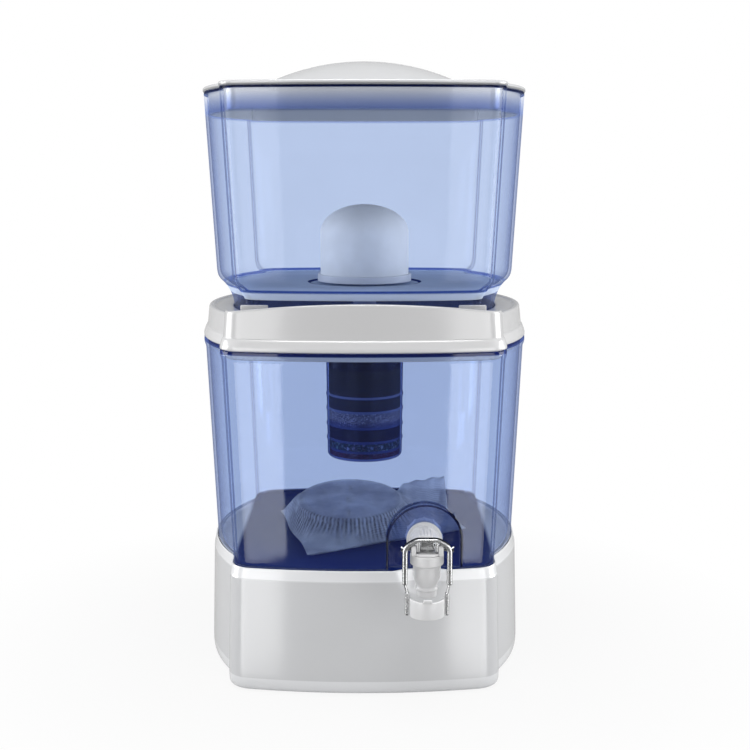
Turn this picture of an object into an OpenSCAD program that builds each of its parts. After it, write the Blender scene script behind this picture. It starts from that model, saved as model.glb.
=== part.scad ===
// Gravity water filter: two stacked tanks with a lift-off lid, a ceramic dome in the upper tank,
// a layered cartridge hanging through the middle cover, a mineral case lying in the lower tank,
// and a push-lever tap that overhangs a hollow stand. Origin: middle of the footprint, on the
// ground. +Z is up and the tap is on the -Y side.

/* [Stand] */
// Half width of the stand at its lower bulge
stand_half = 151; // [140:1:170]
// Height of the stand's upper edge
stand_h = 114; // [95:1:140]
// Height of the ledge that carries the lower tank, below the stand's upper edge
stand_lip = 6; // [3:0.5:10]
// Wall of the stand
stand_wall = 3; // [2:0.5:5]
// Depth of the ledge
ledge_w = 10; // [6:1:16]
// Radius of a rubber foot
foot_r = 10; // [6:1:13]
// How far the feet hold the stand off the ground
foot_drop = 1.5; // [1:0.5:4]
// Radius of the scoop under the tap
scoop_r = 47; // [36:1:55]
// Lean of the scoop, in degrees
scoop_lean = 21; // [14:1:28]

/* [Tanks] */
// Half width of the lower tank at its foot
low_foot_half = 144.3; // [130:0.1:160]
// Half width of the lower tank just under its rim
low_top_half = 152.3; // [146:0.1:170]
// Height of the lower tank
low_tank_h = 201; // [160:1:260]
// Half width of the upper tank at its foot ring
up_foot_half = 124.4; // [110:0.1:135]
// Half width of the upper tank where its side wall starts
up_low_half = 140.4; // [132:0.1:155]
// Half width of the upper tank at its mouth
up_top_half = 149.5; // [142:0.1:165]
// Height of the upper tank
up_tank_h = 202; // [160:1:260]
// Wall of both tanks
tank_wall = 2.6; // [2:0.1:4]
// Floor of both tanks
tank_floor = 3; // [2:0.1:5]
// Height of the upper tank's floor over its foot
up_floor_rise = 26; // [20:1:40]

/* [Middle cover and lid] */
// How far the cover's rim stands out past the lower tank
cover_lip = 1.7; // [1:0.1:4]
// Height of the cover's deck over the lower tank's rim
deck_rise = 28; // [22:1:40]
// Extra height of the cover's crest in the middle of its front and back
crest_rise = 13.7; // [4:0.1:20]
// Extra height of the crest at the ends of its front and back
crest_end_rise = 5.6; // [3:0.1:12]
// Depth of the seat that takes the upper tank's foot
seat_depth = 6; // [4:0.5:10]
// Clearance of the cartridge in the cover's hole
cover_hole_gap = 8; // [5:0.5:16]
// Wall of the cover and the lid
cover_wall = 3; // [2:0.1:4]
// Depth of the skirt with which the cover and the lid plug their tanks
cover_skirt = 8; // [5:1:16]
// Depth of the lid's skirt inside the upper tank
lid_skirt = 19.5; // [10:0.5:30]
// Radius of the lid's dome
lid_dome_r = 98; // [70:1:110]
// Height of the lid's dome
lid_dome_h = 23.5; // [12:0.5:36]

/* [Dome filter] */
// Radius of the ceramic dome
dome_r = 42.3; // [30:0.1:50]
// Height of the ceramic dome
dome_h = 69; // [50:1:90]
// Height of the dome's rounded crown
crown_h = 27; // [15:1:40]
// Wall of the ceramic
ceramic_wall = 9; // [5:0.5:12]
// Radius of the threaded stem under the dome
stem_r = 6; // [5:0.5:8]
// Width of the shallow recess round the dome
recess_w = 10.7; // [8:0.1:16]

/* [Cartridge] */
// Radius of the cartridge
cart_r = 38; // [34:0.5:41]
// Length of the cartridge below its cap
cart_h = 139; // [110:1:150]
// Wall of the cartridge
cart_wall = 1.8; // [1.2:0.1:3]
// Thickness of the bottom bed of mineral sand
sand_t = 5; // [3:0.2:12]
// Thickness of the bed of ceramic balls
balls_t = 7.2; // [5:0.2:16]
// Thickness of the bed of silver carbon
silver_t = 11.6; // [6:0.2:16]
// Thickness of the bed of zeolite
zeolite_t = 13; // [6:0.2:18]
// Thickness of the bed of fine carbon
fine_t = 11.6; // [6:0.2:16]
// Thickness of a felt pad
felt_t = 2.4; // [1.5:0.1:4]

/* [Mineral case] */
// Radius of the mineral case
case_r = 50; // [35:1:55]
// Height of the mineral case
case_h = 20; // [14:1:26]
// Lean of the case, in degrees
case_lean = 8; // [0:1:10]
// Number of ribs round the case
case_ribs = 44; // [24:2:60]

/* [Tap] */
// Place of the tap, to the right of the middle
tap_x = 54; // [30:1:62]
// Radius of the arched recess behind the tap
arch_r = 32; // [26:1:34]
// How far the flat face behind the tap lies in from the tank's front
arch_depth = 11.3; // [9:0.1:14]
// Height of the tap's barrel over the lower tank's foot
barrel_rise = 32; // [26:1:40]
// Radius of the tap's barrel
barrel_r = 13; // [11:0.5:15]
// Reach of the tap, from the flat face to the spout's axis
tap_reach = 54; // [46:1:70]
// Radius of the tap's upright body
valve_r = 11.8; // [10:0.1:13]
// Radius of the collar at the top of the upright body
collar_r = 14.2; // [13.2:0.1:16]
// Radius of the spout
spout_r = 8.5; // [7.5:0.1:10]
// Radius of the threaded shank through the tank wall
shank_r = 9; // [8:0.5:10]
// Clearance of the shank in the tank wall
shank_gap = 0.5; // [0.3:0.1:1]
// Gap between the tap's ears and the lever's arms
lever_gap = 3.2; // [2.5:0.1:6]
// Height of the lever
lever_h = 67; // [60:1:80]
// Distance of the lever's pivot in front of the valve stem
pivot_ahead = 7; // [6:0.5:9]
// Radius of the lever's pivot pins
pin_r = 1.5; // [1.2:0.1:2]
// Running clearance of a pin, on the radius
pin_gap = 0.06; // [0.03:0.01:0.1]

/* [Hidden] */
$fn = 96;
eps = 0.01;             // overlap that makes two solids of one piece join
big = 1000;             // larger than the whole object
fit = 0.3;              // gap between separate pieces that rest on each other
edge = 1;               // bevel on the edges of the big mouldings

// Colours
c_white = "#E6E7EA";
c_cover = "#CBCCCE";
c_tank = "#8FA8DC";
c_chrome = "#C9CCD1";
c_ceramic = "#F2F1EA";
c_seal = "#D8D8D0";
c_carbon = "#15181F";

// ---------------------------------------------------------------- plan outline
// The plan is drawn for a half width of 1. Shallow bowed panels at front and back end in
// rounded corners that stand proud of the two bowed sides, so there is a notch at each corner.
panel_bow_r = 3.73;     // radius of the front panel's bow
corner_x = 0.67;        // centre of the panel's rounded end
corner_r = 0.147;       // radius of that end
notch_y = 0.687;        // where the side panel starts
side_end_x = corner_x + corner_r;
side_bow_r = ((1 - side_end_x) * (1 - side_end_x) + notch_y * notch_y) / (2 * (1 - side_end_x));
bow_cy = panel_bow_r - 1;
corner_y = bow_cy - sqrt(pow(panel_bow_r - corner_r, 2) - corner_x * corner_x);
bow_end = asin(corner_x / (panel_bow_r - corner_r));
side_end = asin(notch_y / side_bow_r);
bow_n = 4;              // segments in half the front bow
corner_n = 3;           // segments in a rounded end
side_n = 5;             // segments in half a side bow
notch_reach = 0.02;     // how far past the notch the side panel's top runs

// one quarter, from the middle of the front to the middle of the right side
function quarter() = concat(
  [for (i = [0 : bow_n]) let (a = bow_end * i / bow_n)
    [panel_bow_r * sin(a), bow_cy - panel_bow_r * cos(a)]],
  [for (i = [1 : corner_n]) let (a = bow_end + (90 - bow_end) * i / corner_n)
    [corner_x + corner_r * sin(a), corner_y - corner_r * cos(a)]],
  [for (i = [0 : side_n]) let (a = side_end * (1 - i / side_n))
    [1 - side_bow_r + side_bow_r * cos(a), -side_bow_r * sin(a)]]
);
q1 = quarter();
q_n = len(q1);
// the whole outline, counter-clockwise seen from above
outline = concat(
  [for (i = [0 : q_n - 2]) q1[i]],
  [for (i = [q_n - 1 : -1 : 1]) [q1[i].x, -q1[i].y]],
  [for (i = [0 : q_n - 2]) [-q1[i].x, -q1[i].y]],
  [for (i = [q_n - 1 : -1 : 1]) [-q1[i].x, q1[i].y]]
);
plan_n = len(outline);

// how far the front panel lies behind its middle, x to the side, for a half width of h
function bow_drop(x, h) = panel_bow_r * h - sqrt(pow(panel_bow_r * h, 2) - x * x);

// half width on a straight side wall at height z, from [z0, h0] to [z1, h1]
function on_line(z, a, b) = a[1] + (b[1] - a[1]) * (z - a[0]) / (b[0] - a[0]);

// one ring of points: spec is [half width, height] or [half width, list of heights]
function ring(spec) = [
  for (j = [0 : plan_n - 1])
    [outline[j].x * spec[0], outline[j].y * spec[0], is_list(spec[1]) ? spec[1][j] : spec[1]]
];
function level(spec) = is_list(spec[1]) ? spec[1][0] : spec[1];

// Skin over a stack of rings, from the bottom middle outwards, up the outside, over the rim
// and down the inside. A closed skin joins its last ring to its first; an open one is capped.
module skin(rings, closed = false) {
  n = len(rings);
  bands = closed ? n : n - 1;
  points = concat(
    [for (r = rings) each ring(r)],
    closed ? [] : [[0, 0, level(rings[0])], [0, 0, level(rings[n - 1])]]
  );
  faces = concat(
    [for (i = [0 : bands - 1]) for (j = [0 : plan_n - 1])
      let (k = (j + 1) % plan_n, m = (i + 1) % n)
      [i * plan_n + j, m * plan_n + j, m * plan_n + k, i * plan_n + k]],
    closed ? [] : [for (j = [0 : plan_n - 1]) [n * plan_n, j, (j + 1) % plan_n]],
    closed ? [] : [for (j = [0 : plan_n - 1])
      [n * plan_n + 1, (n - 1) * plan_n + (j + 1) % plan_n, (n - 1) * plan_n + j]]
  );
  polyhedron(points = points, faces = faces, convexity = 8);
}

// ---------------------------------------------------------------- heights
z_ledge = stand_h - stand_lip;
z_low_floor = z_ledge + tank_floor;
z_low_rim = z_ledge + low_tank_h;
z_deck = z_low_rim + deck_rise;
z_seat = z_deck - seat_depth;
z_up_foot = z_seat + fit;
z_up_floor = z_up_foot + up_floor_rise;
z_up_rim = z_up_foot + up_tank_h;
floor_sink = 0.4;                         // thinning of the upper floor's underside
z_floor_under = z_up_floor - tank_floor - floor_sink;
boss_t = 2;                               // boss under the upper floor, round the stem
z_under = z_floor_under - boss_t;

// ---------------------------------------------------------------- stand
rim_w = 1.7;                              // the stand's rim, out from the lower tank's foot
rim_gap = 0.5;                            // clearance round the lower tank's foot
shoulder_w = 2.2;                         // the shoulder, out from the rim
shoulder_h = 9;                           // height of the bevelled shoulder
bulge_h = 10;                             // height of the fullest part of the stand
hem_h = 2.5;                              // rounded hem round the stand's foot
hem_w = 2.2;
stand_top_half = low_foot_half + rim_w;
shoulder_half = stand_top_half + shoulder_w;
ledge_half = low_foot_half - ledge_w;
inner_rim_half = low_foot_half + rim_gap;
z_shoulder = stand_h - shoulder_h;
stand_outer = [
  [stand_half - hem_w, foot_drop], [stand_half - hem_w / 4, foot_drop + hem_h],
  [stand_half, bulge_h], [shoulder_half, z_shoulder - edge],
  [shoulder_half - edge / 2, z_shoulder],
  [stand_top_half + edge / 2, stand_h - edge], [stand_top_half - edge / 3, stand_h]
];
stand_inner = [
  [inner_rim_half + edge / 2, stand_h], [inner_rim_half, stand_h - edge],
  [inner_rim_half, z_ledge], [ledge_half, z_ledge], [ledge_half, z_ledge - stand_wall],
  [shoulder_half - 2 * stand_wall, z_ledge - 2 * stand_wall],
  [shoulder_half - stand_wall, z_shoulder - ledge_w],
  [stand_half - stand_wall, bulge_h], [stand_half - edge - stand_wall, foot_drop]
];

module stand_outside() { skin(stand_outer); }
module stand_shell() { skin(concat(stand_outer, stand_inner), closed = true); }

// flat face behind the tap, and the places that follow from it
z_barrel = z_ledge + barrel_rise;
low_round = 7.5;                          // height of the rounding at the lower tank's foot
low_rim_h = 9;                            // height of the lower tank's thicker rim
low_line = [[z_ledge + low_round, low_foot_half], [z_low_rim - low_rim_h, low_top_half]];
arch_y = -on_line(z_barrel, low_line[0], low_line[1]) + arch_depth;
tap_y = arch_y - tap_reach;
scoop_back_y = arch_y - fit - stand_wall;

// the leaning cylinder that scoops out the stand's front, its radius grown by more
module scoop(more = 0) {
  length = 3 * stand_h;
  translate([tap_x, scoop_back_y, stand_h])
    rotate([-scoop_lean, 0, 0])
      translate([0, -scoop_r, -length / 2]) cylinder(r = scoop_r + more, h = length);
}

foot_in = 17;                             // a foot's distance in from the side of its corner
foot_on = 2;                              // its distance past the notch
pad_w = 6;                                // width of the boss round a foot
pad_t = 4.5;                              // height of that boss
foot_sink = 1.5;                          // how deep a foot sits in its boss
foot_gap = 0.1;
foot_edge = 1;
foot_x = side_end_x * stand_half - foot_in;
foot_y = notch_y * stand_half + foot_on;
module at_feet() {
  for (sx = [-1, 1]) for (sy = [-1, 1]) translate([sx * foot_x, sy * foot_y, 0]) children();
}

module base_stand() {
  half_box = arch_r - rim_gap;
  color(c_white) difference() {
    union() {
      stand_shell();
      // wall behind the scoop, below the tank and in front of its flat face
      intersection() {
        stand_outside();
        scoop(stand_wall);
        union() {
          translate([tap_x - scoop_r, -big, 0]) cube([2 * scoop_r, big, z_ledge - fit]);
          translate([tap_x - half_box, arch_y - fit - big, 0]) cube([2 * half_box, big, big]);
        }
      }
      intersection() {
        stand_outside();
        at_feet() translate([0, 0, foot_drop]) cylinder(r = foot_r + pad_w, h = pad_t);
      }
    }
    scoop();
    at_feet() translate([0, 0, -eps])
      cylinder(r = foot_r + foot_gap, h = foot_drop + foot_sink);
  }
}

module stand_feet() {
  color("#3A3C40") at_feet() {
    cylinder(r1 = foot_r - foot_edge, r2 = foot_r, h = foot_edge);
    translate([0, 0, foot_edge])
      cylinder(r = foot_r, h = foot_drop + foot_sink - foot_edge - foot_gap);
  }
}

// ---------------------------------------------------------------- lower tank
low_rim_w = 1.3;                          // the lower tank's rim, out from its wall
rim_half = low_top_half + low_rim_w;
rim_step = 6;                             // height of the rim's full thickness
rim_bead = 0.3;
rim_flare = 0.4;
foot_round = [[7, 0], [2.6, 1], [0.6, 4]];        // [in from the foot, up] round the foot
floor_round = [[10, 0], [5.2, 1], [3.4, 3.2]];    // the same inside
function low_line_ring(i) = [low_line[i][1], low_line[i][0]];

module low_outside() {
  skin(concat(
    [for (r = foot_round) [low_foot_half - r[0], z_ledge + r[1]]],
    [low_line_ring(0), low_line_ring(1), [rim_half, z_low_rim - rim_step],
      [rim_half + rim_bead, z_low_rim - 2 * rim_step / 3], [rim_half, z_low_rim]]
  ));
}

module low_inside() {
  skin(concat(
    [for (r = floor_round) [low_foot_half - r[0], z_low_floor + r[1]]],
    [[low_foot_half - tank_wall, z_low_floor + low_round - edge / 2],
      [low_top_half - tank_wall, z_low_rim - low_rim_h],
      [low_top_half - tank_wall + rim_bead, z_low_rim - rim_step],
      [rim_half - tank_wall + rim_flare, z_low_rim + eps]]
  ));
}

// arch-topped prism that runs from the tank's foot up to the arch, and from y0 forwards
module arch_prism(r, y0) {
  translate([tap_x, y0, z_barrel]) rotate([90, 0, 0]) cylinder(r = r, h = big);
  translate([tap_x - r, y0 - big, z_barrel - big]) cube([2 * r, big, big]);
}

// a round bar, hole or ring along the tap's barrel axis, from y0 forwards by length
module along_barrel(r, y0, length) {
  translate([tap_x, y0, z_barrel]) rotate([90, 0, 0]) cylinder(r = r, h = length);
}

module lower_tank() {
  color(c_tank, 0.55) difference() {
    union() {
      difference() {
        low_outside();
        low_inside();
      }
      intersection() {
        low_outside();
        arch_prism(arch_r + tank_wall, arch_y + tank_wall);
      }
    }
    arch_prism(arch_r, arch_y);
    along_barrel(shank_r + shank_gap, arch_y + 2 * tank_wall, 4 * tank_wall);
  }
}

// ---------------------------------------------------------------- middle cover
cover_half = low_top_half + cover_lip;
cover_seat_z = z_low_rim + fit;
plug_gap = 0.9;                           // clearance of the cover's skirt in the tank's mouth
plug_half = low_top_half - tank_wall - plug_gap;
bead_h = 9.5;                             // height of the cover's rim bead
bead_foot = 3.6;                          // height of its upright part
bead_w = 2.4;                             // how far it slopes in
crest_in = 3.7;                           // foot of the crest wall, in from the rim
crest_lean = 2.7;                         // how far the crest wall slopes in
wall_foot_half = cover_half - crest_in;
crest_half = wall_foot_half - crest_lean;
inner_half = crest_half - cover_wall;
crest_edge = 1.4;                         // rounding of the crest's top
side_rise = 1.2;                          // height of the crest over the deck at the sides
cover_hole_r = cart_r + cover_hole_gap;

// the upper tank's bowl, between foot ring and side wall: [share of the way out, height]
bowl = [[0.01, 7], [0.11, 13.5], [0.28, 21], [0.58, 28], [0.88, 32.4], [1, 37]];
bowl_span = up_low_half - up_foot_half;
function bowl_half(z) =
  up_foot_half + bowl_span * lookup(z - z_up_foot, [for (b = bowl) [b[1], b[0]]]);

// height of the crest at a point of the outline
function crest_z(p) =
  abs(p.y) < notch_y + notch_reach ? z_deck + side_rise :
  z_deck + crest_rise - (crest_rise - crest_end_rise) * pow(p.x / side_end_x, 2);
crest_top = [for (p = outline) crest_z(p)];
crest_shoulder = [for (z = crest_top) z - crest_edge];

seat_gap = 1;                             // clearance of the upper tank's foot in its seat
seat_w = 24;                              // width of the seat
seat_edge = 0.2;
seat_half = up_foot_half + seat_gap;
tab_w = 24;                               // upright guide tabs behind and before the foot
tab_t = 2.6;
tab_gap = 0.9;                            // their clearance from the tank's bowl
tab_in = 29.4;                            // their middle, in from the foot's side
tab_x = up_foot_half - tab_in;
tab_rise = 10.5;

module middle_cover() {
  tab_half = bowl_half(z_deck + tab_rise) + tab_gap;
  // the tab's inner end is the one nearest the bowed foot
  tab_y = tab_half - bow_drop(tab_x - tab_w / 2, tab_half);
  color(c_cover) difference() {
    union() {
      skin([
        [seat_half - seat_w, z_seat - cover_wall], [seat_half + edge, z_seat - cover_wall],
        [seat_half + cover_wall + seat_edge, z_deck - cover_wall],
        [inner_half - cover_wall, z_deck - cover_wall],
        [plug_half - cover_wall, z_low_rim - cover_skirt + edge],
        [plug_half - cover_wall + edge / 2, z_low_rim - cover_skirt],
        [plug_half - edge / 2, z_low_rim - cover_skirt], [plug_half, cover_seat_z],
        [cover_half - edge, cover_seat_z], [cover_half, cover_seat_z + edge],
        [cover_half - seat_edge, cover_seat_z + bead_foot],
        [cover_half - bead_w, cover_seat_z + bead_h],
        [wall_foot_half, cover_seat_z + bead_h + edge],
        [crest_half + edge, crest_shoulder], [crest_half, crest_top], [inner_half, crest_top],
        [inner_half - edge, z_deck + edge], [inner_half - 2 * edge, z_deck],
        [seat_half + edge + seat_edge, z_deck], [seat_half + seat_edge, z_deck - edge],
        [seat_half, z_seat], [seat_half - seat_w, z_seat]
      ]);
      // upright tabs that guide the upper tank's foot
      for (sx = [-1, 1]) for (sy = [-1, 1])
        translate([sx * tab_x - tab_w / 2, sy * tab_y - (sy < 0 ? tab_t : 0), z_deck - edge])
          cube([tab_w, tab_t, tab_rise + edge]);
    }
    translate([0, 0, z_seat - 2 * cover_wall]) cylinder(r = cover_hole_r, h = 4 * cover_wall);
  }
}

// ---------------------------------------------------------------- upper tank
bowl_lift = 1;                            // how much higher the bowl's inside lies
floor_round_w = 2;                        // rounding where the bowl meets the floor
recess_depth = 1.4;
recess_r = dome_r + recess_w;
foot_ring_w = 3;                          // wall of the foot ring
floor_in = 10;                            // flat floor, in from the foot ring
stem_gap = 0.5;                           // clearance of the stem in the floor
rim_edge = 2;                             // height of the rounded rim

module upper_tank() {
  color(c_tank, 0.55) difference() {
    union() {
      skin(concat(
        [[up_foot_half - floor_in, z_floor_under], [up_foot_half - foot_ring_w / 2, z_floor_under],
          [up_foot_half - foot_ring_w + edge / 2, z_up_foot + up_floor_rise / 2],
          [up_foot_half - foot_ring_w, z_up_foot],
          [up_foot_half - edge / 2, z_up_foot], [up_foot_half, z_up_foot + edge]],
        [for (b = bowl) [up_foot_half + b[0] * bowl_span, z_up_foot + b[1]]],
        [[up_top_half, z_up_rim - rim_edge], [up_top_half, z_up_rim],
          [up_top_half - tank_wall + edge / 2, z_up_rim],
          [up_top_half - tank_wall, z_up_rim - rim_edge],
          [up_low_half - tank_wall, z_up_foot + bowl[5][1] + bowl_lift],
          [up_low_half - 2 * tank_wall + edge / 2, z_up_foot + bowl[4][1] + bowl_lift],
          [up_foot_half + bowl[3][0] * bowl_span - tank_wall,
            z_up_foot + bowl[3][1] + 2 * bowl_lift],
          [up_foot_half + floor_round_w, z_up_floor], [up_foot_half - floor_in, z_up_floor]]
      ));
      translate([0, 0, z_under]) cylinder(r = 4 * stem_r, h = boss_t + edge);
    }
    translate([0, 0, z_up_floor - recess_depth]) cylinder(r = recess_r, h = tank_floor);
    translate([0, 0, z_under - boss_t]) cylinder(r = stem_r + stem_gap, h = 4 * tank_floor);
  }
}

// ---------------------------------------------------------------- lid
lid_lip = 0.9;                            // the lid's edge, out from the tank's mouth
lid_half = up_top_half + lid_lip;
lid_seat_z = z_up_rim + fit;
lid_gap = 1.4;                            // clearance of the lid's skirt in the tank's mouth
lid_plug_half = up_top_half - tank_wall - lid_gap;
lid_edge_h = 4;                           // height of the lid's edge
lid_slope_w = 30;                         // width of the sloping margin inside the edge
lid_slope_h = 2;                          // its rise, up to the dome's foot

module lid() {
  bend_r = (lid_dome_r * lid_dome_r + lid_dome_h * lid_dome_h) / (2 * lid_dome_h);
  foot_z = lid_seat_z + lid_edge_h + lid_slope_h;   // where the dome starts
  hole_r = lid_dome_r - 2 * edge;
  color(c_white) {
    difference() {
      skin([
        [lid_plug_half - lid_skirt, lid_seat_z + edge],
        [lid_plug_half - cover_wall, lid_seat_z + edge / 2],
        [lid_plug_half - cover_wall - edge / 2, z_up_rim - lid_skirt],
        [lid_plug_half - edge, z_up_rim - lid_skirt],
        [lid_plug_half - edge / 2, z_up_rim - lid_skirt + edge],
        [lid_plug_half, lid_seat_z], [lid_half - edge, lid_seat_z],
        [lid_half, lid_seat_z + edge], [lid_half, lid_seat_z + lid_edge_h - edge],
        [lid_half - edge, lid_seat_z + lid_edge_h],
        [lid_half - lid_slope_w / 2, lid_seat_z + lid_edge_h + lid_slope_h / 2],
        [lid_half - lid_slope_w, foot_z]
      ]);
      translate([0, 0, z_up_rim - lid_skirt]) cylinder(r = hole_r, h = 2 * lid_skirt);
    }
    translate([0, 0, foot_z + lid_dome_h - bend_r]) rotate_extrude() intersection() {
      difference() {
        circle(r = bend_r, $fn = 360);
        circle(r = bend_r - cover_wall, $fn = 360);
      }
      translate([0, bend_r - lid_dome_h - cover_wall]) square([lid_dome_r, bend_r]);
    }
  }
}

// ---------------------------------------------------------------- dome filter
z_gasket = z_up_floor - recess_depth;
gasket_t = 2.2;
z_plate = z_gasket + gasket_t;
plate_t = 4;                              // the plate that the dome is glued in
plate_lip = 2.4;
plate_rim_h = 3;
z_dome = z_plate + plate_t;
glue_gap = 0.3;
stem_play = 0.6;                          // clearance of the gasket round the stem
washer_play = 0.2;                        // clearance of the other washers round theirs

module ceramic_dome() {
  straight = dome_h - crown_h;
  color(c_ceramic) translate([0, 0, z_dome]) difference() {
    union() {
      cylinder(r = dome_r, h = straight);
      translate([0, 0, straight]) dome_crown(dome_r, crown_h);
    }
    translate([0, 0, -eps]) cylinder(r = dome_r - ceramic_wall, h = straight);
    translate([0, 0, straight - eps])
      dome_crown(dome_r - ceramic_wall, crown_h - ceramic_wall);
  }
}

// crown turned from an elliptical arc
module dome_crown(r, h) {
  steps = 16;
  rotate_extrude() polygon(concat(
    [[0, 0]],
    [for (i = [0 : steps]) [r * cos(90 * i / steps), h * sin(90 * i / steps)]]
  ));
}

module dome_base() {
  lip_r = dome_r + glue_gap;
  color(c_white) translate([0, 0, z_plate]) difference() {
    cylinder(r = lip_r + plate_lip, h = plate_t + plate_rim_h);
    translate([0, 0, plate_t]) cylinder(r = lip_r, h = plate_t);
    translate([0, 0, -eps]) cylinder(r = stem_r - edge, h = 2 * plate_t);
  }
}

module dome_gasket() {
  gasket_w = 14;
  color(c_seal) translate([0, 0, z_gasket])
    ring_disc(stem_r + stem_play, stem_r + gasket_w, gasket_t);
}

module ring_disc(r_in, r_out, t) {
  difference() {
    cylinder(r = r_out, h = t);
    translate([0, 0, -eps]) cylinder(r = r_in, h = t + 2 * eps);
  }
}

stem_len = 34;
z_stem = z_plate - stem_len;
stem_wall = 3;
thread_pitch = 2;
thread_h = 0.45;                          // height of the thread over its core
thread_gap = 0.15;

module dome_stem() {
  turns = 12;
  collar_h = 5;
  color(c_white) difference() {
    union() {
      translate([0, 0, z_stem]) cylinder(r = stem_r - thread_gap - thread_h, h = stem_len);
      for (i = [1 : turns]) translate([0, 0, z_stem + i * thread_pitch])
        cylinder(r = stem_r - thread_gap, h = thread_pitch / 2);
      translate([0, 0, z_plate - collar_h]) cylinder(r = stem_r, h = collar_h);
    }
    translate([0, 0, z_stem - eps]) cylinder(r = stem_r - stem_wall, h = stem_len + 1);
  }
}

washer_t = 2;
module stem_washer() {
  washer_in = 7.2;
  color(c_seal) translate([0, 0, z_under - washer_t])
    ring_disc(stem_r + washer_play, stem_r + washer_in, washer_t);
}

nut_t = 7;
z_nut = z_under - washer_t - nut_t;
module wing_nut() {
  nut_wall = 3;
  wing_l = stem_r + 18;
  wing_t = 3;
  color(c_white) translate([0, 0, z_nut]) difference() {
    union() {
      cylinder(r = stem_r + nut_wall, h = nut_t);
      translate([-wing_l, -wing_t / 2, 0]) cube([2 * wing_l, wing_t, nut_t]);
      for (sx = [-1, 1]) translate([sx * wing_l, 0, 0]) cylinder(r = wing_t / 2, h = nut_t);
    }
    translate([0, 0, -1]) cylinder(r = stem_r, h = nut_t + 2);
  }
}

// ---------------------------------------------------------------- cartridge
cap_t = 9;                                // height of the cartridge's cap
socket_h = 13;                            // threaded socket on the cap
nut_gap = 1.2;                            // distance of the socket from the wing nut
z_cap = z_nut - nut_gap - socket_h - cap_t;
cap_wall = 2;
seal_room = 1.6;                          // space for the seal under the cap's top
z_cart_top = z_cap + cap_t - cap_wall - seal_room;
z_cart = z_cart_top - cart_h;
taper = 1.6;                              // how much narrower the cartridge is at its foot
cart_floor = 0.6;
z_grid = z_cart + cart_floor;
grid_t = 2;
layer_gap = 0.1;                          // gap over the grid and the seal
bed_gap = 0.25;                           // gap between a bed and the wall
air_gap = 3;                              // room over the carbon
z_bed = z_grid + grid_t + layer_gap;
// foot heights of the beds, from the bottom up
z_sand = z_bed;
z_felt1 = z_sand + sand_t;
z_balls = z_felt1 + felt_t;
z_felt2 = z_balls + balls_t;
z_silver = z_felt2 + felt_t;
z_felt3 = z_silver + silver_t;
z_zeolite = z_felt3 + felt_t;
z_felt4 = z_zeolite + zeolite_t;
z_fine = z_felt4 + felt_t;
z_felt5 = z_fine + fine_t;
z_carbon = z_felt5 + felt_t;
felts = [z_felt1, z_felt2, z_felt3, z_felt4, z_felt5];
carbon_t = z_cart_top - air_gap - z_carbon;

function cart_out(z) = cart_r - taper * (z_cart_top - z) / cart_h;
function cart_in(z) = cart_out(z) - cart_wall;

neck_in = 1;                              // how much narrower the cartridge's neck is
cap_gap = 0.2;                            // clearance of the neck in the cap

module cartridge_cap() {
  grip_step = 30;
  grip_r = 1.2;
  socket_wall = 5;
  color(c_white) difference() {
    union() {
      translate([0, 0, z_cap]) cylinder(r = cart_r + neck_in, h = cap_t);
      translate([0, 0, z_cap + cap_t - eps]) cylinder(r = stem_r + socket_wall, h = socket_h);
      for (a = [0 : grip_step : 359]) rotate([0, 0, a])
        translate([cart_r + grip_r / 2, 0, z_cap]) cylinder(r = grip_r, h = cap_t, $fn = 24);
    }
    translate([0, 0, z_cap - eps])
      cylinder(r = cart_r - neck_in + cap_gap, h = cap_t - cap_wall);
    translate([0, 0, z_cap]) cylinder(r = stem_r, h = cap_t + socket_h + 1);
  }
}

module cartridge_seal() {
  seal_t = 1.4;
  seal_w = 5;
  color("#C9C9C4") translate([0, 0, z_cart_top + layer_gap])
    ring_disc(cart_r - neck_in - seal_w, cart_r - neck_in, seal_t);
}

module cartridge_body() {
  foot_edge = 2;
  bead_w = 0.7;
  step = 1;                               // inward step of the bore at the neck
  port_step = 60;
  port_r = 4;
  neck_h = z_cart_top - z_cap + 3;
  color("#5E76B0", 0.7) difference() {
    union() {
      rotate_extrude() polygon([
        [0, z_cart], [cart_out(z_cart) - foot_edge, z_cart],
        [cart_out(z_cart), z_cart + foot_edge],
        [cart_out(z_cart_top - neck_h), z_cart_top - neck_h],
        [cart_r - neck_in, z_cart_top - neck_h], [cart_r - neck_in, z_cart_top],
        [0, z_cart_top]
      ]);
      // a bead round each joint between two beds
      for (i = [1 : len(felts) - 1]) translate([0, 0, felts[i]])
        cylinder(r = cart_out(felts[i]) + bead_w, h = felt_t);
    }
    rotate_extrude() polygon([
      [0, z_cart + cart_floor], [cart_in(z_cart), z_cart + cart_floor],
      [cart_in(z_cart_top - neck_h), z_cart_top - neck_h],
      [cart_in(z_cart_top) - step, z_cart_top - neck_h + step],
      [cart_in(z_cart_top) - step, z_cart_top + 1], [0, z_cart_top + 1]
    ]);
    for (a = [0 : port_step : 359]) rotate([0, 0, a])
      translate([cart_r / 2, 0, z_cart - 1]) cylinder(r = port_r, h = cart_floor + 2, $fn = 32);
  }
}

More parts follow.
